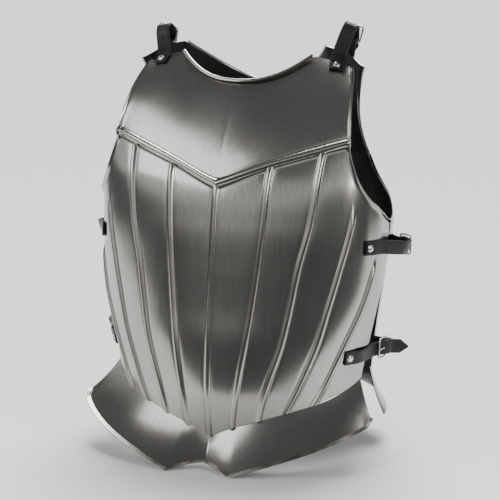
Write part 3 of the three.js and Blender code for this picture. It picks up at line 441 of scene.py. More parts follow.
class Sheet:
    """A sheet of points and quads that face outwards, which becomes a plate of even thickness."""

    def __init__(self) -> None:
        """Starts an empty sheet."""
        self.points: list[Array] = []
        self.faces: list[tuple[int, int, int, int]] = []
        self.trim: list[bool] = []

    def add_row(self, row: Array) -> list[int]:
        """Adds a row of points and returns their numbers."""
        start = len(self.points)
        self.points.extend(row)
        return list(range(start, start + len(row)))

    def strip(self, below: list[int], above: list[int], trim: bool = False) -> None:
        """Joins two equally long rows by quads, the second row above the first."""
        for i in range(len(below) - 1):
            self.faces.append((below[i], below[i + 1], above[i + 1], above[i]))
            self.trim.append(trim)

    def normals(self) -> Array:
        """The outward normal at each point."""
        points, faces = np.array(self.points), np.array(self.faces)
        corners = [points[faces[:, i]] for i in range(4)]
        crossed = np.cross(corners[2] - corners[0], corners[3] - corners[1])
        sums = np.zeros_like(points)
        for corner in range(4):
            np.add.at(sums, faces[:, corner], crossed)
        return unit(sums)

    def turn_edge(self, path: list[int], steps: Iterable[tuple[float, float]]) -> list[int]:
        """Turns an edge outwards, step by step.

        Args:
            path: The edge's point numbers, with the sheet on the right seen from outside.
            steps: Lengths, and angles in degrees from the sheet's plane towards its outer side.

        Returns:
            The point numbers of the new edge.
        """
        points = np.array(self.points)
        outer = self.normals()[path]
        ends = points[path]
        along = unit(np.gradient(ends, axis=0))
        away = unit(np.cross(outer, along))
        previous = path
        for length, degrees in steps:
            angle = math.radians(degrees)
            ends = ends + away * length * math.cos(angle) + outer * length * math.sin(angle)
            row = self.add_row(ends)
            self.strip(previous, row, trim=True)
            previous = row
        return previous

    def plate(self, name: str, thickness: float, outside: bpy.types.Material,
              inside: bpy.types.Material) -> bpy.types.Object:
        """The plate as an object, steel outside and on its turned edges, another finish inside.

        Args:
            name: The object's name.
            thickness: The sheet's thickness.
            outside: The outer finish.
            inside: The inner finish.

        Returns:
            The plate's object.
        """
        points, faces, count = np.array(self.points), np.array(self.faces), len(self.points)
        inner = points - self.normals() * thickness
        edges = {(int(face[k]), int(face[(k + 1) % 4])) for face in faces for k in range(4)}
        rim = [edge for edge in edges if (edge[1], edge[0]) not in edges]
        rim.sort()
        starts, ends = np.array([[a, b] for a, b in rim]).T
        lips = np.concatenate([points[ends], points[starts], inner[starts], inner[ends]])
        start, n = 2 * count, len(rim)
        rim_faces = [(start + i, start + n + i, start + 2 * n + i, start + 3 * n + i) for i in range(n)]
        every = faces.tolist() + (faces[:, ::-1] + count).tolist() + rim_faces
        kinds = [0] * len(faces) + [0 if trim else 1 for trim in self.trim] + [0] * n
        return make_object(name, np.concatenate([points, inner, lips]), every, [outside, inside], kinds)


def mirrored(rows: Array) -> Array:
    """Both halves of a grid, from one whose columns run from the centre to the wearer's left.

    Args:
        rows: Points in rows and columns, the first column on the centre line.

    Returns:
        The rows from the wearer's right to the left.
    """
    other = rows[:, :0:-1] * np.array([-1.0, 1.0, 1.0])
    return np.concatenate([other, rows], axis=1)


# Finishes.


class Graph:
    """A short way to build a material's nodes."""

    def __init__(self, name: str) -> None:
        """Makes an empty material with an output and a surface shader.

        Args:
            name: The material's name.
        """
        self.material = bpy.data.materials.new(name)
        self.material.use_nodes = True
        self.nodes, self.links = self.material.node_tree.nodes, self.material.node_tree.links
        self.nodes.clear()
        output = self.nodes.new("ShaderNodeOutputMaterial")
        self.shader = self.nodes.new("ShaderNodeBsdfPrincipled")
        self.links.new(self.shader.outputs["BSDF"], output.inputs["Surface"])

    def put(self, socket: bpy.types.NodeSocket, value: object) -> None:
        """Links a socket's value, or sets it where the value is a constant."""
        if isinstance(value, bpy.types.NodeSocket):
            self.links.new(value, socket)
        else:
            socket.default_value = value

    def surface(self, **values: object) -> None:
        """Sets or links the surface shader's inputs, spaces in a name written as underscores."""
        for key, value in values.items():
            self.put(self.shader.inputs[key.replace("_", " ")], value)

    def coordinates(self, scale: tuple[float, float, float] = (1.0, 1.0, 1.0)) -> bpy.types.NodeSocket:
        """Object coordinates in metres, stretched by a scale."""
        source = self.nodes.new("ShaderNodeTexCoord")
        mapping = self.nodes.new("ShaderNodeMapping")
        self.links.new(source.outputs["Object"], mapping.inputs["Vector"])
        mapping.inputs["Scale"].default_value = scale
        return mapping.outputs["Vector"]

    def noise(self, scale: float, detail: float = 4.0, roughness: float = 0.5,
              stretch: tuple[float, float, float] = (1.0, 1.0, 1.0)) -> bpy.types.NodeSocket:
        """A noise value of a number of waves a metre.

        Args:
            scale: Waves a metre.
            detail: How many finer layers it has.
            roughness: How strong the finer layers are.
            stretch: How much denser it is along each axis.

        Returns:
            The noise value's socket.
        """
        node = self.nodes.new("ShaderNodeTexNoise")
        self.links.new(self.coordinates(stretch), node.inputs["Vector"])
        node.inputs["Scale"].default_value = scale
        node.inputs["Detail"].default_value = detail
        node.inputs["Roughness"].default_value = roughness
        return node.outputs["Fac"]

    def cells(self, scale: float) -> bpy.types.NodeSocket:
        """The distance to the nearest cell's centre, of a number of cells a metre."""
        node = self.nodes.new("ShaderNodeTexVoronoi")
        self.links.new(self.coordinates(), node.inputs["Vector"])
        node.inputs["Scale"].default_value = scale
        return node.outputs["Distance"]

    def ranged(self, value: bpy.types.NodeSocket, source: tuple[float, float],
               target: tuple[float, float]) -> bpy.types.NodeSocket:
        """A value moved from one range to another and held to it."""
        node = self.nodes.new("ShaderNodeMapRange")
        self.links.new(value, node.inputs["Value"])
        for key, number in zip(("From Min", "From Max", "To Min", "To Max"), source + target):
            node.inputs[key].default_value = number
        return node.outputs["Result"]

    def blend(self, factor: object, first: object, second: object) -> bpy.types.NodeSocket:
        """A colour between two, by a factor."""
        node = self.nodes.new("ShaderNodeMix")
        node.data_type = "RGBA"
        for socket, value in ((node.inputs[0], factor), (node.inputs[6], first), (node.inputs[7], second)):
            self.put(socket, value)
        return node.outputs[2]

    def sum(self, first: object, second: object, operation: str = "ADD") -> bpy.types.NodeSocket:
        """Two values joined by an operation."""
        node = self.nodes.new("ShaderNodeMath")
        node.operation = operation
        self.put(node.inputs[0], first)
        self.put(node.inputs[1], second)
        return node.outputs[0]

    def bump(self, height: bpy.types.NodeSocket, distance: float, strength: float,
             under: bpy.types.NodeSocket | None = None) -> bpy.types.NodeSocket:
        """A bumped normal.

        Args:
            height: The height value.
            distance: The height in metres at value 1.
            strength: The share of it that shows.
            under: A normal that this one adds to.

        Returns:
            The normal's socket.
        """
        node = self.nodes.new("ShaderNodeBump")
        self.links.new(height, node.inputs["Height"])
        node.inputs["Distance"].default_value = distance
        node.inputs["Strength"].default_value = strength
        if under is not None:
            self.links.new(under, node.inputs["Normal"])
        return node.outputs["Normal"]


@dataclass(frozen=True)
class SatinSteel:
    """Polished sheet steel with soft hammer waves, upright brushing and faint clouds."""

    name: str = "satin_steel"
    light: tuple[float, float, float, float] = (0.43, 0.417, 0.398, 1.0)
    dark: tuple[float, float, float, float] = (0.335, 0.322, 0.302, 1.0)
    roughness: tuple[float, float] = (0.20, 0.23)
    wave: float = 0.0007

    def material(self) -> bpy.types.Material:
        """Builds the material."""
        graph = Graph(self.name)
        clouds = graph.noise(5.0, 4.0, 0.5)
        streaks = graph.noise(260.0, 6.0, 0.65, (1.0, 1.0, 0.025))
        wear = graph.noise(14.0, 1.0, 0.4)
        tone = graph.sum(graph.sum(clouds, 0.6, "MULTIPLY"), graph.sum(streaks, 0.4, "MULTIPLY"))
        colour = graph.blend(graph.ranged(tone, (0.38, 0.60), (0.0, 1.0)), self.dark, self.light)
        rough = graph.ranged(wear, (0.3, 0.7), self.roughness)
        waves = graph.bump(graph.noise(8.0, 2.0, 0.4), self.wave, 0.6)
        graph.surface(Base_Color=colour, Metallic=1.0, Roughness=rough, Normal=waves)
        return graph.material


@dataclass(frozen=True)
class BlackPaint:
    """Black brushed-on paint inside the plates, a little thin and scuffed."""

    name: str = "black_paint"

    def material(self) -> bpy.types.Material:
        """Builds the material."""
        graph = Graph(self.name)
        strokes = graph.noise(70.0, 6.0, 0.6, (1.0, 1.0, 0.25))
        scuffs = graph.ranged(graph.noise(26.0, 8.0, 0.7), (0.64, 0.74), (0.0, 1.0))
        colour = graph.blend(scuffs, (0.012, 0.012, 0.013, 1.0), (0.045, 0.043, 0.042, 1.0))
        graph.surface(Base_Color=colour, Roughness=graph.ranged(strokes, (0.3, 0.7), (0.36, 0.62)),
                      Normal=graph.bump(strokes, 0.0003, 0.5))
        return graph.material


@dataclass(frozen=True)
class HarnessLeather:
    """Black leather with a grain, worn edges, creased borders and, where the mesh asks for them, holes that
    are dented in and painted near-black as painted shade.
    """

    name: str = "harness_leather"
    hole_spacing: float = 15.0
    hole_radius: float = 1.7
    half_width: float = 9.5

    def material(self) -> bpy.types.Material:
        """Builds the material. The surface map holds the length in millimetres and the share across."""
        graph = Graph(self.name)
        uv = graph.nodes.new("ShaderNodeUVMap")
        uv.uv_map = "strap"
        split = graph.nodes.new("ShaderNodeSeparateXYZ")
        graph.links.new(uv.outputs["UV"], split.inputs[0])
        length, share = split.outputs[0], graph.sum(split.outputs[1], 0.0, "ABSOLUTE")
        turn = graph.sum(graph.sum(length, self.hole_spacing, "DIVIDE"), 0.0, "FRACT")
        along = graph.sum(graph.sum(turn, 0.5, "SUBTRACT"), self.hole_spacing, "MULTIPLY")
        across = graph.sum(share, self.half_width, "MULTIPLY")
        square = graph.sum(graph.sum(along, 2.0, "POWER"), graph.sum(across, 2.0, "POWER"))
        reach = graph.sum(square, 0.5, "POWER")
        in_zone = graph.ranged(length, (-0.01, 0.01), (0.0, 1.0))
        punched = graph.ranged(reach, (self.hole_radius - 0.3, self.hole_radius + 0.1), (1.0, 0.0))
        # The hole mask dents the leather and also carries painted shade: the hole is coloured near-black
        # below.
        hole_dent_and_painted_shade = graph.sum(punched, in_zone, "MULTIPLY")
        from_crease = graph.sum(graph.sum(share, 0.80, "SUBTRACT"), 0.0, "ABSOLUTE")
        crease = graph.ranged(from_crease, (0.0, 0.05), (1.0, 0.0))
        grain = graph.cells(900.0)
        folds = graph.noise(150.0, 6.0, 0.6)
        worn = graph.sum(graph.ranged(share, (0.90, 1.0), (0.0, 0.7)), folds, "MULTIPLY")
        colour = graph.blend(worn, (0.013, 0.013, 0.014, 1.0), (0.075, 0.068, 0.062, 1.0))
        # Painted shade: the punched holes are coloured near-black for the shade inside them.
        colour = graph.blend(hole_dent_and_painted_shade, colour, (0.002, 0.002, 0.002, 1.0))
        relief = graph.sum(graph.sum(hole_dent_and_painted_shade, -4.0, "MULTIPLY"), graph.sum(crease, -1.2, "MULTIPLY"))
        normal = graph.bump(graph.sum(graph.sum(grain, 0.35, "MULTIPLY"), folds), 0.0004, 0.6)
        graph.surface(Base_Color=colour, Roughness=graph.ranged(folds, (0.3, 0.7), (0.34, 0.56)),
                      Specular_IOR_Level=0.35, Normal=graph.bump(relief, 0.0004, 0.8, normal))
        return graph.material


@dataclass(frozen=True)
class BrightNickel:
    """Bright nickel plate with fine scratches and duller patches."""

    name: str = "bright_nickel"

    def material(self) -> bpy.types.Material:
        """Builds the material."""
        graph = Graph(self.name)
        haze = graph.noise(160.0, 5.0, 0.6)
        scratches = graph.noise(1800.0, 2.0, 0.5, (1.0, 0.12, 1.0))
        colour = graph.blend(haze, (0.62, 0.61, 0.59, 1.0), (0.86, 0.85, 0.83, 1.0))
        graph.surface(Base_Color=colour, Metallic=1.0, Roughness=graph.ranged(haze, (0.3, 0.7), (0.12, 0.26)),
                      Normal=graph.bump(scratches, 0.00003, 0.5))
        return graph.material


@dataclass(frozen=True)
class PaleBoard:
    """The studio's plain pale floor."""

    name: str = "pale_board"
    shade: float = 0.90

    def material(self) -> bpy.types.Material:
        """Builds the material."""
        graph = Graph(self.name)
        tooth = graph.noise(240.0, 3.0, 0.5)
        low, high = (self.shade - 0.01,) * 3 + (1.0,), (self.shade + 0.01,) * 3 + (1.0,)
        graph.surface(Base_Color=graph.blend(tooth, low, high), Roughness=0.85)
        return graph.material


@dataclass(frozen=True)
class Finishes:
    """The materials of the whole scene, made once."""

    steel: bpy.types.Material = field(default_factory=lambda: SatinSteel().material())
    paint: bpy.types.Material = field(default_factory=lambda: BlackPaint().material())
    leather: bpy.types.Material = field(default_factory=lambda: HarnessLeather().material())
    nickel: bpy.types.Material = field(default_factory=lambda: BrightNickel().material())
    board: bpy.types.Material = field(default_factory=lambda: PaleBoard().material())


# The plates.


@dataclass(frozen=True)
class Column:
    """A column of the breastplate's sheet: beside a bead, or between two flutes."""

    flute: int
    bead: float | None
    between: float
    yoke: float | None

    def way(self, z: Array) -> Array:
        """The column's ways round at heights."""
        reach = BEAD_REACH
        if self.bead is not None:
            return CHEST.foot(self.flute, self.bead, z)
        near = CHEST.foot(self.flute, reach, z)
        if self.flute == len(FLUTE_FADES) - 1:
            far = CHEST.line(self.flute + 1, z)
        else:
            far = CHEST.foot(self.flute + 1, -reach, z)
        return mix(near, far, self.between)


BEAD_REACH = 1.45
BEAD_PLACES = (0.0, 0.22, 0.44, 0.64, 0.82, 0.96, 1.1, 1.25, BEAD_REACH)
# Where the inner three flutes and the feet of their beads meet the neck and shoulder line.
YOKE_CENTRES = (0.0, 0.385, 0.785)
YOKE_FEET = ((0.0, 0.03), (0.36, 0.41), (0.76, 0.81))


def bead_profile(place: Array | float) -> Array:
    """A bead's height as a share of its crest's, at places in half widths: a rib between two grooves."""
    place = np.abs(np.asarray(place, dtype=float))
    rib = np.where(place < 1, np.maximum(np.cos(place * math.pi / 2), 0.0) ** 0.75, 0.0)
    groove = 0.13 * np.exp(-((place - 1.12) / 0.15) ** 2)
    return rib - groove


@dataclass
class Breastplate:
    """The fluted breastplate, one sheet from the waist to the rolled neck."""

    finishes: Finishes
    panel_rows: int = 70
    ridge_rows: int = 7
    yoke_rows: int = 44
    ridge_end: float = 0.56
    point_softness: float = 0.8

    def columns(self) -> list[Column]:
        """The columns from the centre line to the wearer's left side."""
        result: list[Column] = []
        feet = YOKE_FEET
        for flute in range(len(FLUTE_FADES)):
            places = BEAD_PLACES if flute == 0 else tuple(-p for p in BEAD_PLACES[:0:-1]) + BEAD_PLACES
            for place in places:
                share = None
                if flute < 3:
                    low, high = feet[flute]
                    end = high if place >= 0 else low
                    share = mix(YOKE_CENTRES[flute], end, abs(place) / BEAD_REACH)
                result.append(Column(flute, place, 0.0, share))
            for between in np.linspace(0, 1, 9)[1:-1]:
                share = None
                if flute < 2:
                    share = mix(feet[flute][1], feet[flute + 1][0], between)
                elif flute == 2 and between <= self.ridge_end:
                    share = mix(feet[2][1], 1.0, between / self.ridge_end)
                result.append(Column(flute, None, float(between), share))
            if flute == 2:
                last = Column(2, None, self.ridge_end, 1.0)
                result = [c for c in result if c.flute < 2 or c.yoke is None or c.yoke < 0.995]
                cut = next(i for i, c in enumerate(result)
                           if c.flute == 2 and c.bead is None and c.yoke is None)
                result.insert(cut, last)
        result.append(Column(len(FLUTE_FADES) - 1, None, 1.0, None))
        return result

    @staticmethod
    def meet(columns: list[Column], line: Curve) -> Array:
        """The heights at which columns meet a line of way round against height."""
        low, high = np.zeros(len(columns)), np.full(len(columns), SIZES.height * RIDGE_END_HEIGHT)
        for _ in range(40):
            middle = (low + high) / 2
            ways = np.array([float(column.way(np.array(z))) for column, z in zip(columns, middle)])
            below = middle < SIZES.height * line(ways)
            low, high = np.where(below, middle, low), np.where(below, high, middle)
        return (low + high) / 2

    def build(self) -> bpy.types.Object:
        """Builds the breastplate.

        Returns:
            The plate's object.
        """
        columns = self.columns()
        under = np.array([column.yoke is not None for column in columns])
        bottom = self.meet(columns, WAIST_EDGE)
        crest = self.meet(columns, RIDGE_LINE)
        top = np.where(under, crest - SIZES.ridge_half_width, self.meet(columns, ARMHOLE))
        shares = np.linspace(0, 1, self.panel_rows + 1)
        grid = np.empty((self.panel_rows + 1, len(columns), 3))
        for i, column in enumerate(columns):
            z = mix(bottom[i], top[i], shares)
            way = column.way(z)
            start, end = FLUTE_FADES[column.flute]
            rise = np.zeros_like(shares)
            if column.bead is not None:
                rise = bead_profile(column.bead) * (1 - smooth(shares, start, end))
            if under[i]:
                rise = rise * (1 - 0.25 * smooth(shares, 0.97, 1.0))
            grid[:, i] = CHEST.point(way, z) + CHEST.normal(way, z) * (SIZES.bead_height * rise)[..., None]
        upper = self.upper(columns, crest, under)

        sheet = Sheet()
        panels = [sheet.add_row(row) for row in mirrored(grid)]
        for below, above in zip(panels, panels[1:]):
            sheet.strip(below, above)
        cut = int((~under).sum())
        brim = panels[-1]
        rows = [brim[cut:len(brim) - cut]] + [sheet.add_row(row) for row in mirrored(upper)]
        for below, above in zip(rows, rows[1:]):
            sheet.strip(below, above)
        flange = ((1.0, 14.0), (1.0, 32.0), (3.2, 58.0))
        sheet.turn_edge(brim[:cut + 1] + [row[0] for row in rows[1:]], flange)
        sheet.turn_edge([row[-1] for row in rows[:0:-1]] + brim[-cut - 1:], flange)
        inner_columns = sum(1 for c in columns if c.yoke is not None and c.yoke < SIZES.neck_share + 0.005)
        middle = len(rows[-1]) // 2
        neck = rows[-1][middle - inner_columns + 1:middle + inner_columns]
        sheet.turn_edge(neck, [(1.15, angle) for angle in (18, 48, 80, 112, 144, 176, 208)])
        plate = sheet.plate("breastplate_looks", SIZES.sheet, self.finishes.steel, self.finishes.paint)
        return place(plate, "breastplate", Slot.STEEL)

    def upper(self, columns: list[Column], crest: Array, under: Array) -> Array:
        """The rows of the ridge and the yoke, on the columns under the ridge.

        Args:
            columns: The sheet's columns.
            crest: Each column's height on the ridge's crest.
            under: Which columns run up into the yoke.

        Returns:
            Points in rows and columns.
        """
        held = [column for column, keep in zip(columns, under) if keep]
        heights = crest[under]
        share = np.array([column.yoke for column in held])
        bead = np.array([0.0 if c.bead is None else float(bead_profile(c.bead)) for c in held])
        way = np.array([float(c.way(np.array(z))) for c, z in zip(held, heights)])
        foot = CHEST.point(way, heights)
        rows = []
        half = SIZES.ridge_half_width
        for step in range(1, self.ridge_rows + 1):
            across = -1 + step / self.ridge_rows
            z = heights + across * half
            ways = np.array([float(c.way(np.array(h))) for c, h in zip(held, z)])
            rise = np.maximum(SIZES.ridge_height * bead_profile(across),
                              SIZES.bead_height * bead * 0.75 * (1 - smooth(across, -1.0, -0.35)))
            rows.append(CHEST.point(ways, z) + CHEST.normal(ways, z) * rise[..., None])
        rest = SIZES.height - heights
        normal = CHEST.normal(way, heights)
        for step in range(1, self.ridge_rows + 1):
            across = step / self.ridge_rows
            rise = across * half / rest
            point = CHEST.yoke(self.softened(foot, share, rise), share, rise)
            turned = unit(mix(normal, normal + np.array([0.0, 0.0, 0.25]), across))
            rows.append(point + turned * (SIZES.ridge_height * bead_profile(across)))
        for step in range(1, self.yoke_rows + 1):
            rise = mix(half / rest, 1.0, (step / self.yoke_rows) ** 1.15)
            groove = SIZES.ridge_height * bead_profile(1 + (rise - half / rest) * rest / half)
            point = CHEST.yoke(self.softened(foot, share, rise), share, rise)
            rows.append(point + normal * groove[..., None])
        return np.array(rows)

    def softened(self, foot: Array, share: Array, rise: Array) -> Array:
        """The yoke's foot with the ridge's point rounded off, more so the higher the place on the yoke.

        Args:
            foot: Points under the ridge's crest.
            share: Shares of the neck and shoulder line.
            rise: Shares of the way from the ridge to that line.

        Returns:
            The points that the yoke is stretched from at that rise.
        """
        def line(at: Array) -> Array:
            """The ridge's line at shares."""
            way = YOKE_WAYS(at)
            return CHEST.point(way, SIZES.height * RIDGE_LINE(way))

        moved = line(np.minimum(np.hypot(share, self.point_softness * rise), 1.0)) - line(share)
        return foot + moved * np.array([0.0, 1.0, 1.0])


@dataclass
class FrontSkirt:
    """The front skirt: two flared lobes with a crease between them, a scallop and a narrow border."""

    finishes: Finishes
    side_columns: int = 70
    rows: int = 26
    tip_way: float = 0.149
    corner_way: float = 0.745
    end_way: float = 0.93
    tip_share: float = 0.175
    fullness: float = 1.8
    tip_height: float = 3.0
    corner_height: float = 61.0
    crease_height: float = 11.0
    crease_depth: float = 32.0
    corner_cut: float = 7.0

    def rim(self, way: Array) -> Array:
        """Points of the rim at ways round its own oval."""
        angle = way * math.pi / 2
        power = 2 / self.fullness
        along = np.maximum((way - self.tip_way) / (self.corner_way - self.tip_way), 0.0)
        return np.stack([
            (SIZES.chest_half_width + SIZES.skirt_side) * np.sin(angle) ** power,
            SIZES.oval_y - (SIZES.chest_depth + SIZES.skirt_front) * np.cos(angle) ** power,
            mix(self.tip_height, self.corner_height, along ** 0.96),
        ], axis=-1)

    def build(self) -> bpy.types.Object:
        """Builds the front skirt.

        Returns:
            The skirt's object.
        """
        tip_share = self.tip_share
        share = np.concatenate([np.linspace(0, tip_share, 17)[:-1],
                                np.linspace(tip_share, 1, self.side_columns)])
        way = share * self.end_way
        waist = SIZES.height * WAIST_EDGE(way)
        depth = SIZES.sheet + 2 * SIZES.gap
        tucked = CHEST.point(way, waist + SIZES.tuck) - CHEST.normal(way, waist + SIZES.tuck) * depth
        seat = CHEST.point(way, waist) - CHEST.normal(way, waist) * depth
        tip = self.rim(np.array([self.tip_way]))[0]
        out = np.minimum(share / tip_share, 1.0)
        crease_y = SIZES.oval_y - SIZES.chest_depth - SIZES.skirt_front + self.crease_depth
        inner = np.stack([tip[0] * out, mix(crease_y, tip[1], out ** 1.1),
                          mix(self.crease_height, tip[2], out ** 2.2)], axis=-1)
        past_tip = np.maximum(share - tip_share, 0) / (1 - tip_share)
        lobe = self.rim(mix(self.tip_way, self.corner_way, past_tip))
        rim = np.where((share < tip_share)[:, None], inner, lobe)
        cut_back = SIZES.skirt_border * 0.8 + smooth(share, 0.93, 1.0) * self.corner_cut
        rim = mix(rim, seat, (cut_back / np.linalg.norm(rim - seat, axis=-1))[:, None])
        grid = []
        for step in range(self.rows, -1, -1):
            down = step / self.rows
            sag = SIZES.skirt_hollow * 4 * down * (1 - down)
            shift = np.stack([-sag * share * 0.6, np.full_like(share, sag * 0.7),
                              np.full_like(share, -sag * 0.4)], axis=-1)
            grid.append(mix(seat, rim, down) + shift)
        grid.append(tucked)
        sheet = Sheet()
        rows = [sheet.add_row(row) for row in mirrored(np.array(grid))]
        for below, above in zip(rows, rows[1:]):
            sheet.strip(below, above)
        sheet.turn_edge(rows[0][::-1], ((0.9, 66.0), (0.9, 10.0), (1.9, 12.0), (0.8, 52.0), (0.9, -30.0)))
        skirt = sheet.plate("front_skirt_looks", SIZES.sheet, self.finishes.steel, self.finishes.paint)
        return place(skirt, "front_skirt", Slot.STEEL)


@dataclass
class Backplate:
    """The plain backplate, with turned armholes and neck, painted black inside."""

    finishes: Finishes
    panel_rows: int = 44
    upper_rows: int = 26

    def build(self) -> bpy.types.Object:
        """Builds the backplate.

        Returns:
            The plate's object.
        """
        top_share = np.linspace(0, 1, 49)
        ways = np.concatenate([BACK_TOP_WAYS(top_share), np.linspace(0.62, 1.0, 30)[1:]])
        held = len(top_share)
        bottom = BACK.waist(ways)
        top = np.where(np.arange(len(ways)) < held, BACK.arm_top, SIZES.height * BACK_ARMHOLE(ways))
        grid = np.array([BACK.point(ways, mix(bottom, top, row / self.panel_rows))
                         for row in range(self.panel_rows + 1)])
        upper = np.array([BACK.blade(top_share, row / self.upper_rows)
                          for row in range(1, self.upper_rows + 1)])
        sheet = Sheet()
        rows = [sheet.add_row(row[::-1]) for row in mirrored(grid)]
        for below, above in zip(rows, rows[1:]):
            sheet.strip(below, above)
        brim = rows[-1]
        cut = len(ways) - held
        tops = [brim[cut:len(brim) - cut]] + [sheet.add_row(row[::-1]) for row in mirrored(upper)]
        for below, above in zip(tops, tops[1:]):
            sheet.strip(below, above)
        flange = ((0.8, 20.0), (2.2, 60.0))
        sheet.turn_edge(brim[:cut + 1] + [row[0] for row in tops[1:]], flange)
        sheet.turn_edge([row[-1] for row in tops[:0:-1]] + brim[-cut - 1:], flange)
        middle, reach = len(tops[-1]) // 2, int((top_share <= SIZES.back_neck_share).sum())
        neck = tops[-1][middle - reach + 1:middle + reach]
        sheet.turn_edge(neck, [(0.9, angle) for angle in (20, 50, 80, 110)])
        plate = sheet.plate("backplate_looks", SIZES.sheet, self.finishes.steel, self.finishes.paint)
        return place(plate, "backplate", Slot.STEEL)


@dataclass
class BackSkirt:
    """The back skirt, flared to a rim whose middle is turned to a flat foot."""

    finishes: Finishes
    rows: int = 20
    foot_share: float = 0.27
    foot_flange: float = 5.0
    flare: tuple[float, float] = (34.0, 24.0)
    side_forward: float = 9.0
    arch_share: float = 0.41
    arch_height: float = 62.0
    corner_height: float = 42.0

    def build(self) -> bpy.types.Object:
        """Builds the back skirt.

        Returns:
            The skirt's object.
        """
        half = np.concatenate([np.linspace(0, self.foot_share, 21), np.linspace(self.foot_share, 1, 60)[1:]])
        ways = np.concatenate([half[:0:-1], -half])
        share = np.abs(ways)
        waist = BACK.waist(share)
        depth = SIZES.sheet + 2 * SIZES.gap
        normal = BACK.normal(ways, waist)
        tucked = BACK.point(ways, waist + SIZES.tuck) - normal * depth
        seat = BACK.point(ways, waist) - normal * depth
        flat = unit(normal * np.array([1.0, 1.0, 0.0]))
        rim = seat + flat * mix(*self.flare, smooth(share, self.foot_share, 1.0))[:, None]
        rim[:, 1] -= self.side_forward * smooth(share, 0.7, 1.0)
        floor = -BODY_TO_PART[2] + SIZES.sheet
        arch = mix(floor, self.arch_height, smooth(share, self.foot_share, self.arch_share))
        fall = mix(self.arch_height, self.corner_height, smooth(share, self.arch_share, 1.0))
        rim[:, 2] = np.where(share < self.arch_share, arch, fall)
        grid = []
        for step in range(self.rows, -1, -1):
            down = step / self.rows
            grid.append(mix(seat, rim, down) - flat * (SIZES.skirt_hollow * 4 * down * (1 - down) * 0.6))
        grid.append(tucked)
        sheet = Sheet()
        rows = [sheet.add_row(row) for row in grid]
        for below, above in zip(rows, rows[1:]):
            sheet.strip(below, above)
        foot = [i for i in range(len(ways)) if share[i] <= self.foot_share + 1e-6]
        above = [rows[0][i] for i in foot]
        for reach in (0.3, 1.0):
            row = sheet.add_row(rim[foot] + flat[foot] * self.foot_flange * reach)
            sheet.strip(row, above, trim=True)
            above = row
        skirt = sheet.plate("back_skirt_looks", SIZES.sheet, self.finishes.steel, self.finishes.paint)
        return place(skirt, "back_skirt", Slot.STEEL)


# The straps.


@dataclass(frozen=True)
class Place:
    """A point of a strap's course and the direction of the strap's width there."""

    point: Array
    width: Array


@dataclass(frozen=True)
class Station:
    """A point along a strap with its directions and its share of the full width."""

    point: Array
    along: Array
    normal: Array
    width: Array
    taper: float = 1.0


class Route:
    """A smooth curve through a strap's places, read by length from its start."""

    def __init__(self, places: list[Place]) -> None:
        """Samples the curve finely.

        Args:
            places: The places in order.
        """
        points = [spot.point for spot in places]
        widths = unit(np.array([spot.width for spot in places]))
        points = [2 * points[0] - points[1]] + points + [2 * points[-1] - points[-2]]
        samples, guides = [], []
        steps = 60
        for i in range(1, len(points) - 2):
            knots = np.array(points[i - 1:i + 3])
            gaps = np.linalg.norm(np.diff(knots, axis=0), axis=1) ** 0.5
            for step in range(steps + (i == len(points) - 3)):
                s = step / steps
                samples.append(self.segment(knots, gaps, s))
                guides.append(mix(widths[i - 1], widths[i], s))
        self.points, self.guides = np.array(samples), np.array(guides)
        lengths = np.linalg.norm(np.diff(self.points, axis=0), axis=1)
        self.lengths = np.concatenate([[0.0], np.cumsum(lengths)])
        self.length = float(self.lengths[-1])

    @staticmethod
    def segment(knots: Array, gaps: Array, s: float) -> Array:
        """A point of one stretch of the centripetal curve.

        Args:
            knots: The four points round the stretch.
            gaps: The square roots of the distances between them.
            s: The share of the stretch.

        Returns:
            The point.
        """
        p0, p1, p2, p3 = knots
        d0, d1, d2 = gaps
        m1 = ((p1 - p0) / d0 - (p2 - p0) / (d0 + d1) + (p2 - p1) / d1) * d1
        m2 = ((p2 - p1) / d1 - (p3 - p1) / (d1 + d2) + (p3 - p2) / d2) * d1
        s2, s3 = s * s, s ** 3
        return (2 * s3 - 3 * s2 + 1) * p1 + (s3 - 2 * s2 + s) * m1 + (3 * s2 - 2 * s3) * p2 + (s3 - s2) * m2

    def read(self, table: Array, length: float) -> Array:
        """Reads a sampled table at a length."""
        return np.array([np.interp(length, self.lengths, table[:, axis]) for axis in range(3)])

    def at(self, length: float, offset: float, taper: float = 1.0) -> Station:
        """The station at a length, moved off the route along its normal by an offset."""
        held = min(max(length, 0.0), self.length)
        reach = 1.0
        low, high = max(held - reach, 0.0), min(held + reach, self.length)
        along = unit(self.read(self.points, high) - self.read(self.points, low))
        normal = unit(np.cross(along, self.read(self.guides, held)))
        width = unit(np.cross(normal, along))
        point = self.read(self.points, held) + along * (length - held) + normal * offset
        return Station(point, along, normal, width, taper)


def on_surface(surface: Callable[[float, float], Array], across: float, up: float,
               off: float) -> tuple[Array, Array, Array]:
    """A strap's place on a surface.

    Args:
        surface: The surface's point at a place across and up.
        across: The place across.
        up: The place up.
        off: How far the strap stands off it, besides its own clearance.

    Returns:
        The point, and the surface's directions across and up.
    """
    step = 0.01
    along_across = surface(across + step, up) - surface(across - step, up)
    along_up = surface(across, up + step) - surface(across, up - step)
    normal = unit(np.cross(along_across, along_up))
    return surface(across, up) + normal * (1.3 + 0.6 + off), along_across, along_up


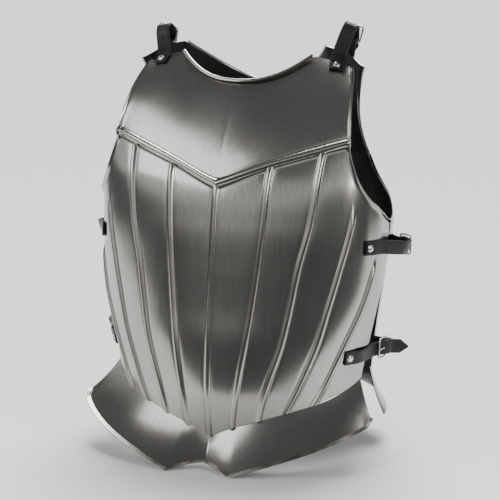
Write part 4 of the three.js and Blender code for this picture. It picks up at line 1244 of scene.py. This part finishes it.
UPPER_COURSE = (
    # kind, place along, place back or up, drop in strap widths or rise, lean or clearances
    ("chest", 0.768, -0.10, 1), ("chest", 0.850, -0.05, 1), ("chest", 0.930, 0.00, 4),
    ("free", 1.070, 0.16, 0.21, 0.10), ("free", 1.117, 0.44, 0.37, 0.30), ("free", 1.128, 0.72, 0.44, 0.35),
    ("free", 1.098, 1.02, 0.52, 0.20), ("free", 1.035, 1.28, 0.62, 0.05),
    ("blade", 0.84, 0.66, 7), ("blade", 0.74, 0.62, 2), ("blade", 0.66, 0.58, 2),
)
LOWER_COURSE = (
    ("chest", 0.715, 0.00, 1), ("chest", 0.770, 0.00, 1), ("chest", 0.820, 0.00, 6),
    ("free", 0.955, 0.12, -0.05, 0.0), ("free", 1.000, 0.47, -0.08, 0.0), ("free", 1.008, 0.75, 0.12, 0.0),
    ("free", 0.970, 1.14, 0.38, 0.0),
    ("blade", 0.84, 0.56, 10), ("blade", 0.74, 0.64, 2), ("blade", 0.66, 0.70, 2),
)
SHOULDER_COURSE = (
    ("yoke", 0.895, 1), ("yoke", 0.950, 1), ("yoke", 0.998, 3),
    ("free", -0.06, 0.24), ("free", 0.03, 0.50), ("free", 0.17, 0.78), ("free", 0.56, 1.00),
    ("free", 1.11, 0.98), ("free", 1.44, 0.76),
    ("blade", 0.99, 9), ("blade", 0.94, 5), ("blade", 0.82, 2), ("blade", 0.72, 2),
)
SHOULDER_SHARE = 0.86
STRAP_WIDTH = 19.0
STRAP_THICKNESS = 2.6
# A strap's outline, across and through it in half widths and half thicknesses: one face, then both.
STRAP_FACE = ((-1, -0.5), (-0.95, -0.95), (-0.8, -1), (-0.4, -1), (0, -1), (0.4, -1), (0.8, -1),
              (0.95, -0.95), (1, -0.5))
STRAP_OUTLINE = STRAP_FACE + tuple((-across, -up) for across, up in STRAP_FACE)
SIDE_GAP = 57.0
SHOULDER_GAP = 18.0


def side_route(course: tuple, side: int, height: float) -> Route:
    """The route of a side strap at a height.

    Args:
        course: The course's rows.
        side: The sign of the side along X.
        height: The strap's height.

    Returns:
        The route.
    """
    places = []
    for kind, *row in course:
        if kind == "free":
            out, back, drop, lean = row
            y = SIZES.oval_y + back * SIDE_GAP
            point = np.array([side * out * SIZES.chest_half_width, y, height - drop * STRAP_WIDTH])
            places.append(Place(point, np.array([lean, 0.0, side])))
            continue
        way, drop, off = row
        z = height - drop * STRAP_WIDTH
        if kind == "chest":
            point, _, up = on_surface(CHEST.point, side * way, z, off * SIZES.gap)
        else:
            point, _, up = on_surface(lambda a, b: BACK.point(-a, b), -side * way, z, off * SIZES.gap)
        places.append(Place(point, up * side))
    return Route(places)


def shoulder_route(side: int, lean_angle: float, loop_height: float) -> Route:
    """The route of a shoulder strap.

    Args:
        side: The sign of the side along X.
        lean_angle: How far the loop leans outwards, in degrees.
        loop_height: How high it stands above the shoulder.

    Returns:
        The route.
    """
    lean = math.radians(lean_angle)
    up = np.array([side * math.sin(lean), 0.0, math.cos(lean)])
    across = np.array([-math.cos(lean), 0.0, side * math.sin(lean)])
    flip = np.array([side, 1.0, 1.0])
    foot = CHEST.top_line(SHOULDER_SHARE) * flip

    def yoke(share: float, rise: float) -> Array:
        """The yoke's surface on this side."""
        base = CHEST.point(float(YOKE_WAYS(abs(share))), SIZES.height * RIDGE_LINE(YOKE_WAYS(abs(share))))
        return CHEST.yoke(base, abs(share), rise) * flip

    def blade(share: float, rise: float) -> Array:
        """The backplate's upper surface on this side."""
        return BACK.blade(abs(share), rise) * flip

    places = []
    for kind, first, second in SHOULDER_COURSE:
        if kind == "yoke":
            point, wide, _ = on_surface(yoke, side * SHOULDER_SHARE, first, second * SIZES.gap)
            places.append(Place(point, -wide))
        elif kind == "blade":
            point, wide, _ = on_surface(blade, -side * SHOULDER_SHARE, first, second * SIZES.gap)
            places.append(Place(point, wide))
        else:
            point = foot + up * second * loop_height + np.array([0.0, first * SHOULDER_GAP, 0.0])
            places.append(Place(point, across))
    return Route(places)


def sweep(name: str, rings: list[Array], materials: list, uvs: Array | None = None) -> bpy.types.Object:
    """A closed body swept through rings of points, with flat ends.

    Args:
        name: The object's name.
        rings: The rings, equally long.
        materials: The object's materials.
        uvs: Surface coordinates for each point.

    Returns:
        The object.
    """
    size = len(rings[0])
    faces: list[list[int]] = []
    for i in range(len(rings) - 1):
        for k in range(size):
            a, b = i * size + k, i * size + (k + 1) % size
            faces.append([a, b, b + size, a + size])
    end = (len(rings) - 1) * size
    faces.append(list(range(size))[::-1])
    faces.append([end + k for k in range(size)])
    return make_object(name, np.concatenate(rings), faces, materials, uvs=uvs)


@dataclass
class StrapSet:
    """A front strap, a back strap, the buckle and prong that join them, and a rivet at each end."""

    finishes: Finishes
    name: str
    route: Route
    buckle_share: float
    tail: float
    lift: float
    straight: bool = False
    wire: float = 1.3
    buckle_length: float = 20.0
    clearance: float = 2.4
    tip: float = 10.0
    tip_width: float = 0.14
    tail_curl: float = 1.25
    rivet_inset: float = 7.0
    rivet_radius: float = 4.8
    rivet_height: float = 2.8

    def __post_init__(self) -> None:
        """Works out where the bars sit and how the front strap climbs over them."""
        self.half = STRAP_THICKNESS / 2
        self.wrap = self.wire + 2 * SIZES.gap + self.half
        self.buckle_at = self.route.length * self.buckle_share
        self.heel = self.buckle_at + self.buckle_length / 2
        self.toe = self.buckle_at - self.buckle_length / 2
        self.over = self.wrap + 2 * self.half + 2 * SIZES.gap

    def rise(self, length: float) -> float:
        """How far the front strap stands off its route at a length."""
        start = self.toe - self.buckle_length * 0.3
        return float(self.over * smooth(length, start, self.heel - self.wrap * 0.4))

    def band(self, name: str, node: str, stations: list[Station], holes: tuple[float, float]) -> None:
        """Makes one leather strap.

        Args:
            name: The object's name.
            node: The CAD node that it stands for.
            stations: The strap's stations.
            holes: Where the punched holes start and end, as lengths along it.
        """
        rings, uvs, run = [], [], 0.0
        for i, station in enumerate(stations):
            if i:
                run += float(np.linalg.norm(station.point - stations[i - 1].point))
            wide = STRAP_WIDTH / 2 * station.taper
            rings.append(np.array([station.point + station.width * a * wide + station.normal * b * self.half
                                   for a, b in STRAP_OUTLINE]))
            shown = run - holes[0] if holes[0] <= run <= holes[1] else -1.0
            uvs.extend([(shown, a) for a, _ in STRAP_OUTLINE])
        item = sweep(name, rings, [self.finishes.leather], np.array(uvs))
        place(item, node, Slot.LEATHER)

    def straps(self) -> None:
        """Makes both straps."""
        end = self.heel + self.tail
        leave = self.heel + self.wrap
        left = self.route.at(leave, self.rise(leave))
        steps = 72
        front = []
        body, point = np.linspace(0, end - self.tip, steps), np.linspace(end - self.tip, end, 9)
        for length in np.append(body, point[1:]):
            beyond = max(length - leave, 0.0)
            lift = self.lift * (beyond / (end - leave)) ** self.tail_curl
            taper = mix(self.tip_width, 1.0, min(1.0, (end - length) / self.tip))
            if self.straight and beyond > 0:
                point = left.point + left.along * beyond + left.normal * lift
                front.append(Station(point, left.along, left.normal, left.width, taper))
            else:
                front.append(self.route.at(length, self.rise(length) + lift, taper))
        self.band(f"{self.name}_front_strap_looks", f"{self.name}_front_strap", front,
                  (self.rivet_inset + 9.0, end - 7.0))
        back = []
        for i in range(41):
            length = mix(self.route.length, self.heel + self.wrap * 1.6, i / 40)
            drop = -self.wrap * (1 - float(smooth(length, self.heel, self.heel + self.wrap * 5)))
            spot = self.route.at(length, drop)
            back.append(Station(spot.point, spot.along, -spot.normal, spot.width))
        bar = self.route.at(self.heel, 0)
        for i in range(15):
            angle = math.pi * i / 14
            out = -bar.normal * math.cos(angle) - bar.along * math.sin(angle)
            back.append(Station(bar.point + out * self.wrap, bar.along, out, bar.width))
        self.band(f"{self.name}_back_strap_looks", f"{self.name}_back_strap", back, (1.0, 0.0))

    def buckle(self) -> None:
        """Makes the buckle's frame and its prong."""
        bar = self.route.at(self.heel, 0)
        toe = self.route.at(self.toe, self.rise(self.toe) + self.half + 5 * SIZES.gap + self.wire)
        across = bar.width * (STRAP_WIDTH / 2 + self.clearance + self.wire)
        legs = unit(toe.point - bar.point)
        corner = 3.0
        path = []
        for spot, turn in ((toe.point, 1), (bar.point, -1)):
            for wing in (1, -1):
                tip = spot + across * turn * wing
                inward = -unit(across) * turn * wing
                start, finish = -legs * turn, inward
                if wing == -1:
                    start, finish = inward, -legs * turn
                for k in range(6):
                    angle = math.pi / 2 * k / 5
                    bend = start * (1 - math.sin(angle)) + finish * (1 - math.cos(angle))
                    path.append(tip + corner * bend)
        face = unit(np.cross(bar.width, legs))
        self.ring(f"{self.name}_buckle", np.array(path), face)
        self.tongue(bar)

    def ring(self, node: str, path: Array, face: Array) -> None:
        """Makes a closed ring of wire through a path that lies square to a face direction."""
        sides, count = 14, len(path)
        along = unit(np.roll(path, -1, axis=0) - np.roll(path, 1, axis=0))
        out = np.cross(along, face)
        points, faces = [], []
        for i in range(count):
            for k in range(sides):
                angle = 2 * math.pi * k / sides
                points.append(path[i] + self.wire * (out[i] * math.cos(angle) + face * math.sin(angle)))
                j, m = (i + 1) % count, (k + 1) % sides
                faces.append([i * sides + k, j * sides + k, j * sides + m, i * sides + m])
        item = make_object(f"{node}_looks", np.array(points), faces, [self.finishes.nickel])
        place(item, node, Slot.FITTINGS)

    def tongue(self, bar: Station) -> None:
        """Makes the prong, which rises from the strap over the toe bar."""
        radius = self.wire * 0.75
        start, end = self.buckle_at - self.buckle_length * 0.05, self.toe - self.wire * 1.5
        over_bar = self.toe + self.wire * 2.2
        on_bar = self.rise(self.toe) + self.half + 6 * SIZES.gap + 2 * self.wire + radius
        rings = []
        for i in range(17):
            length = mix(start, end, i / 16)
            on_strap = self.rise(length) + self.half + 2 * SIZES.gap + radius
            climb = min(max((start - length) / (start - over_bar), 0), 1)
            spot = self.route.at(length, mix(on_strap, max(on_bar, on_strap), float(smooth(climb, 0, 1))))
            round_end = math.sqrt(max(1 - (max(i - 14, 0) / 2.2) ** 2, 0.05))
            rings.append(np.array([spot.point + radius * round_end * (-spot.width * math.cos(a)
                                                                      + spot.normal * math.sin(a))
                                   for a in np.linspace(0, 2 * math.pi, 13)[:-1]]))
        item = sweep(f"{self.name}_prong_looks", rings, [self.finishes.nickel])
        place(item, f"{self.name}_prong", Slot.FITTINGS)

    def rivet(self, node: str, length: float) -> None:
        """Makes a domed rivet head on its washer, at a length along the route."""
        seat = self.route.at(length, self.half + 1.5 * SIZES.gap)
        tall, wide = self.rivet_height, self.rivet_radius
        profile = [(0.0, 0.0), (wide, 0.0), (wide, 0.35), (wide * 0.97, 0.55), (wide * 0.86, 0.62),
                   (wide * 0.8, 0.9)]
        for turn in range(30, 91, 10):
            angle = math.radians(turn)
            profile.append((wide * 0.92 * math.cos(angle), 0.6 + (tall - 0.6) * math.sin(angle)))
        sides = 28
        rings = []
        for reach, up in profile:
            angles = np.linspace(0, 2 * math.pi, sides + 1)[:-1]
            reach = max(reach, 0.02)
            centre = seat.point + seat.normal * up
            rings.append(np.array([centre + reach * (seat.along * math.cos(a) + seat.width * -math.sin(a))
                                   for a in angles]))
        item = sweep(f"{node}_looks", rings, [self.finishes.nickel])
        place(item, node, Slot.FITTINGS)

    def build(self) -> None:
        """Makes the whole set."""
        self.straps()
        self.buckle()
        self.rivet(f"{self.name}_front_rivet", self.rivet_inset)
        self.rivet(f"{self.name}_back_rivet", self.route.length - self.rivet_inset)


@dataclass(frozen=True)
class Harness:
    """All six strap sets."""

    finishes: Finishes
    upper_share: float = 0.542
    lower_share: float = 0.270

    def build(self) -> None:
        """Makes the strap sets of both sides."""
        upper, lower = SIZES.height * self.upper_share, SIZES.height * self.lower_share
        # Side, lean and height of the shoulder's loop, tail and lift of the lower strap.
        plans = ((Wearer.LEFT, 19.0, 52.0, 26.0, 13.0), (Wearer.RIGHT, 9.0, 41.0, 20.0, 9.0))
        for wearer, lean, loop, tail, lift in plans:
            side = wearer.value
            StrapSet(self.finishes, f"{wearer.word}_upper_side", side_route(UPPER_COURSE, side, upper),
                     0.66, 16.0, 3.0).build()
            StrapSet(self.finishes, f"{wearer.word}_lower_side", side_route(LOWER_COURSE, side, lower),
                     0.415, tail, lift, straight=True).build()
            StrapSet(self.finishes, f"{wearer.word}_shoulder", shoulder_route(side, lean, loop),
                     0.58, 16.0, 3.0).build()


# The studio.


@dataclass(frozen=True)
class SoftBox:
    """A large soft light that looks at a point, in metres and watts."""

    name: str
    place: Corner
    target: Corner
    size: tuple[float, float]
    power: float

    def build(self) -> None:
        """Makes the light."""
        data = bpy.data.lights.new(self.name, "AREA")
        data.shape = "RECTANGLE"
        data.size, data.size_y = self.size
        data.energy = self.power
        item = bpy.data.objects.new(self.name, data)
        aim(item, self.place, self.target)
        bpy.context.scene.collection.objects.link(item)


@dataclass(frozen=True)
class Overhead:
    """A very soft even light from overhead, in watts per square metre, with its width in degrees."""

    name: str
    place: Corner
    power: float
    width: float

    def build(self) -> None:
        """Makes the light."""
        data = bpy.data.lights.new(self.name, "SUN")
        data.angle = math.radians(self.width)
        data.energy = self.power
        item = bpy.data.objects.new(self.name, data)
        aim(item, self.place, (0.0, 0.0, 0.0))
        bpy.context.scene.collection.objects.link(item)


def aim(item: bpy.types.Object, where: Corner, target: Corner) -> None:
    """Puts an object at a place and points its -Z axis at a target, its X axis level."""
    back = unit(np.array(where) - np.array(target))
    right = unit(np.cross([0.0, 0.0, 1.0], back))
    up = np.cross(back, right)
    turned = Matrix([[float(axis[i]) for axis in (right, up, back)] for i in range(3)])
    item.rotation_euler = turned.to_euler()
    item.location = [float(value) for value in where]


@dataclass(frozen=True)
class Studio:
    """The pale floor, the soft lights and the camera at the photo's angle."""

    finishes: Finishes
    azimuth: float = 20.01
    elevation: float = 12.19
    distance: float = 2.5
    lens: float = 129.64
    shift: float = -0.0054
    apron: float = 0.38
    run: float = 11.0
    spread: float = 1.9

    def build(self) -> None:
        """Makes the studio."""
        self.floor()
        self.world()
        self.lights()
        self.camera()

    def floor(self) -> None:
        """Makes the board that the part stands on, which runs back past the top of the picture."""
        turn = math.radians(self.azimuth)
        points = []
        for along, across in ((-self.apron, -self.spread), (-self.apron, self.spread),
                              (self.run, self.spread), (self.run, -self.spread)):
            x = across * math.cos(turn) - along * math.sin(turn)
            y = across * math.sin(turn) + along * math.cos(turn)
            points.append([x / MILLIMETRE, y / MILLIMETRE, 0.0])
        item = make_object("studio_floor", np.array(points) - BODY_TO_PART, [[0, 1, 2, 3]],
                           [self.finishes.board])

    def world(self) -> None:
        """Makes the room's light: dark low down, a soft bright band higher up, darker overhead."""
        world = bpy.data.worlds.new("studio_room")
        bpy.context.scene.world = world
        world.use_nodes = True
        nodes, links = world.node_tree.nodes, world.node_tree.links
        nodes.clear()
        source = nodes.new("ShaderNodeTexCoord")
        split = nodes.new("ShaderNodeSeparateXYZ")
        links.new(source.outputs["Generated"], split.inputs[0])
        ramp = nodes.new("ShaderNodeValToRGB")
        links.new(split.outputs[2], ramp.inputs[0])
        stops = ((0.0, 0.11), (0.05, 0.13), (0.16, 0.85), (0.42, 0.55), (0.64, 0.17), (1.0, 0.13))
        while len(ramp.color_ramp.elements) < len(stops):
            ramp.color_ramp.elements.new(0.5)
        for element, (position, value) in zip(ramp.color_ramp.elements, stops):
            element.position = position
            element.color = (value, value, value, 1.0)
        background = nodes.new("ShaderNodeBackground")
        links.new(ramp.outputs[0], background.inputs[0])
        background.inputs[1].default_value = 1.0
        output = nodes.new("ShaderNodeOutputWorld")
        links.new(background.outputs[0], output.inputs[0])

    def lights(self) -> None:
        """Makes the soft lights."""
        boxes = (
            SoftBox("key_box", (-1.7, -1.8, 1.9), (0.0, 0.0, 0.3), (2.6, 1.5), 34.0),
            SoftBox("fill_box", (2.2, -1.0, 1.2), (0.0, 0.0, 0.3), (0.4, 1.3), 18.0),
            Overhead("overhead", (-0.1, 0.62, 1.0), 4.8, 36.0),
        )
        for box in boxes:
            box.build()

    def camera(self) -> None:
        """Makes the camera at the photo's angle and sets it as the scene's."""
        turn, lift = math.radians(self.azimuth), math.radians(self.elevation)
        target = (np.array([0.0, 0.0, 260.0]) + BODY_TO_PART) * MILLIMETRE
        back = np.array([math.sin(turn) * math.cos(lift), -math.cos(turn) * math.cos(lift), math.sin(lift)])
        data = bpy.data.cameras.new("photo_camera")
        data.lens, data.sensor_width, data.shift_x = self.lens, 36.0, self.shift
        item = bpy.data.objects.new("photo_camera", data)
        aim(item, tuple(target + back * self.distance), tuple(target))
        bpy.context.scene.collection.objects.link(item)
        bpy.context.scene.camera = item


def main() -> None:
    """Builds the cuirass and the studio."""
    logging.basicConfig(level=logging.INFO, format="%(name)s: %(message)s")
    finishes = Finishes()
    for part in (Breastplate(finishes), FrontSkirt(finishes), Backplate(finishes), BackSkirt(finishes)):
        item = part.build()
        LOG.info("%s: %d faces", item.name, len(item.data.polygons))
    Harness(finishes).build()
    Studio(finishes).build()


if __name__ == "__main__":
    main()
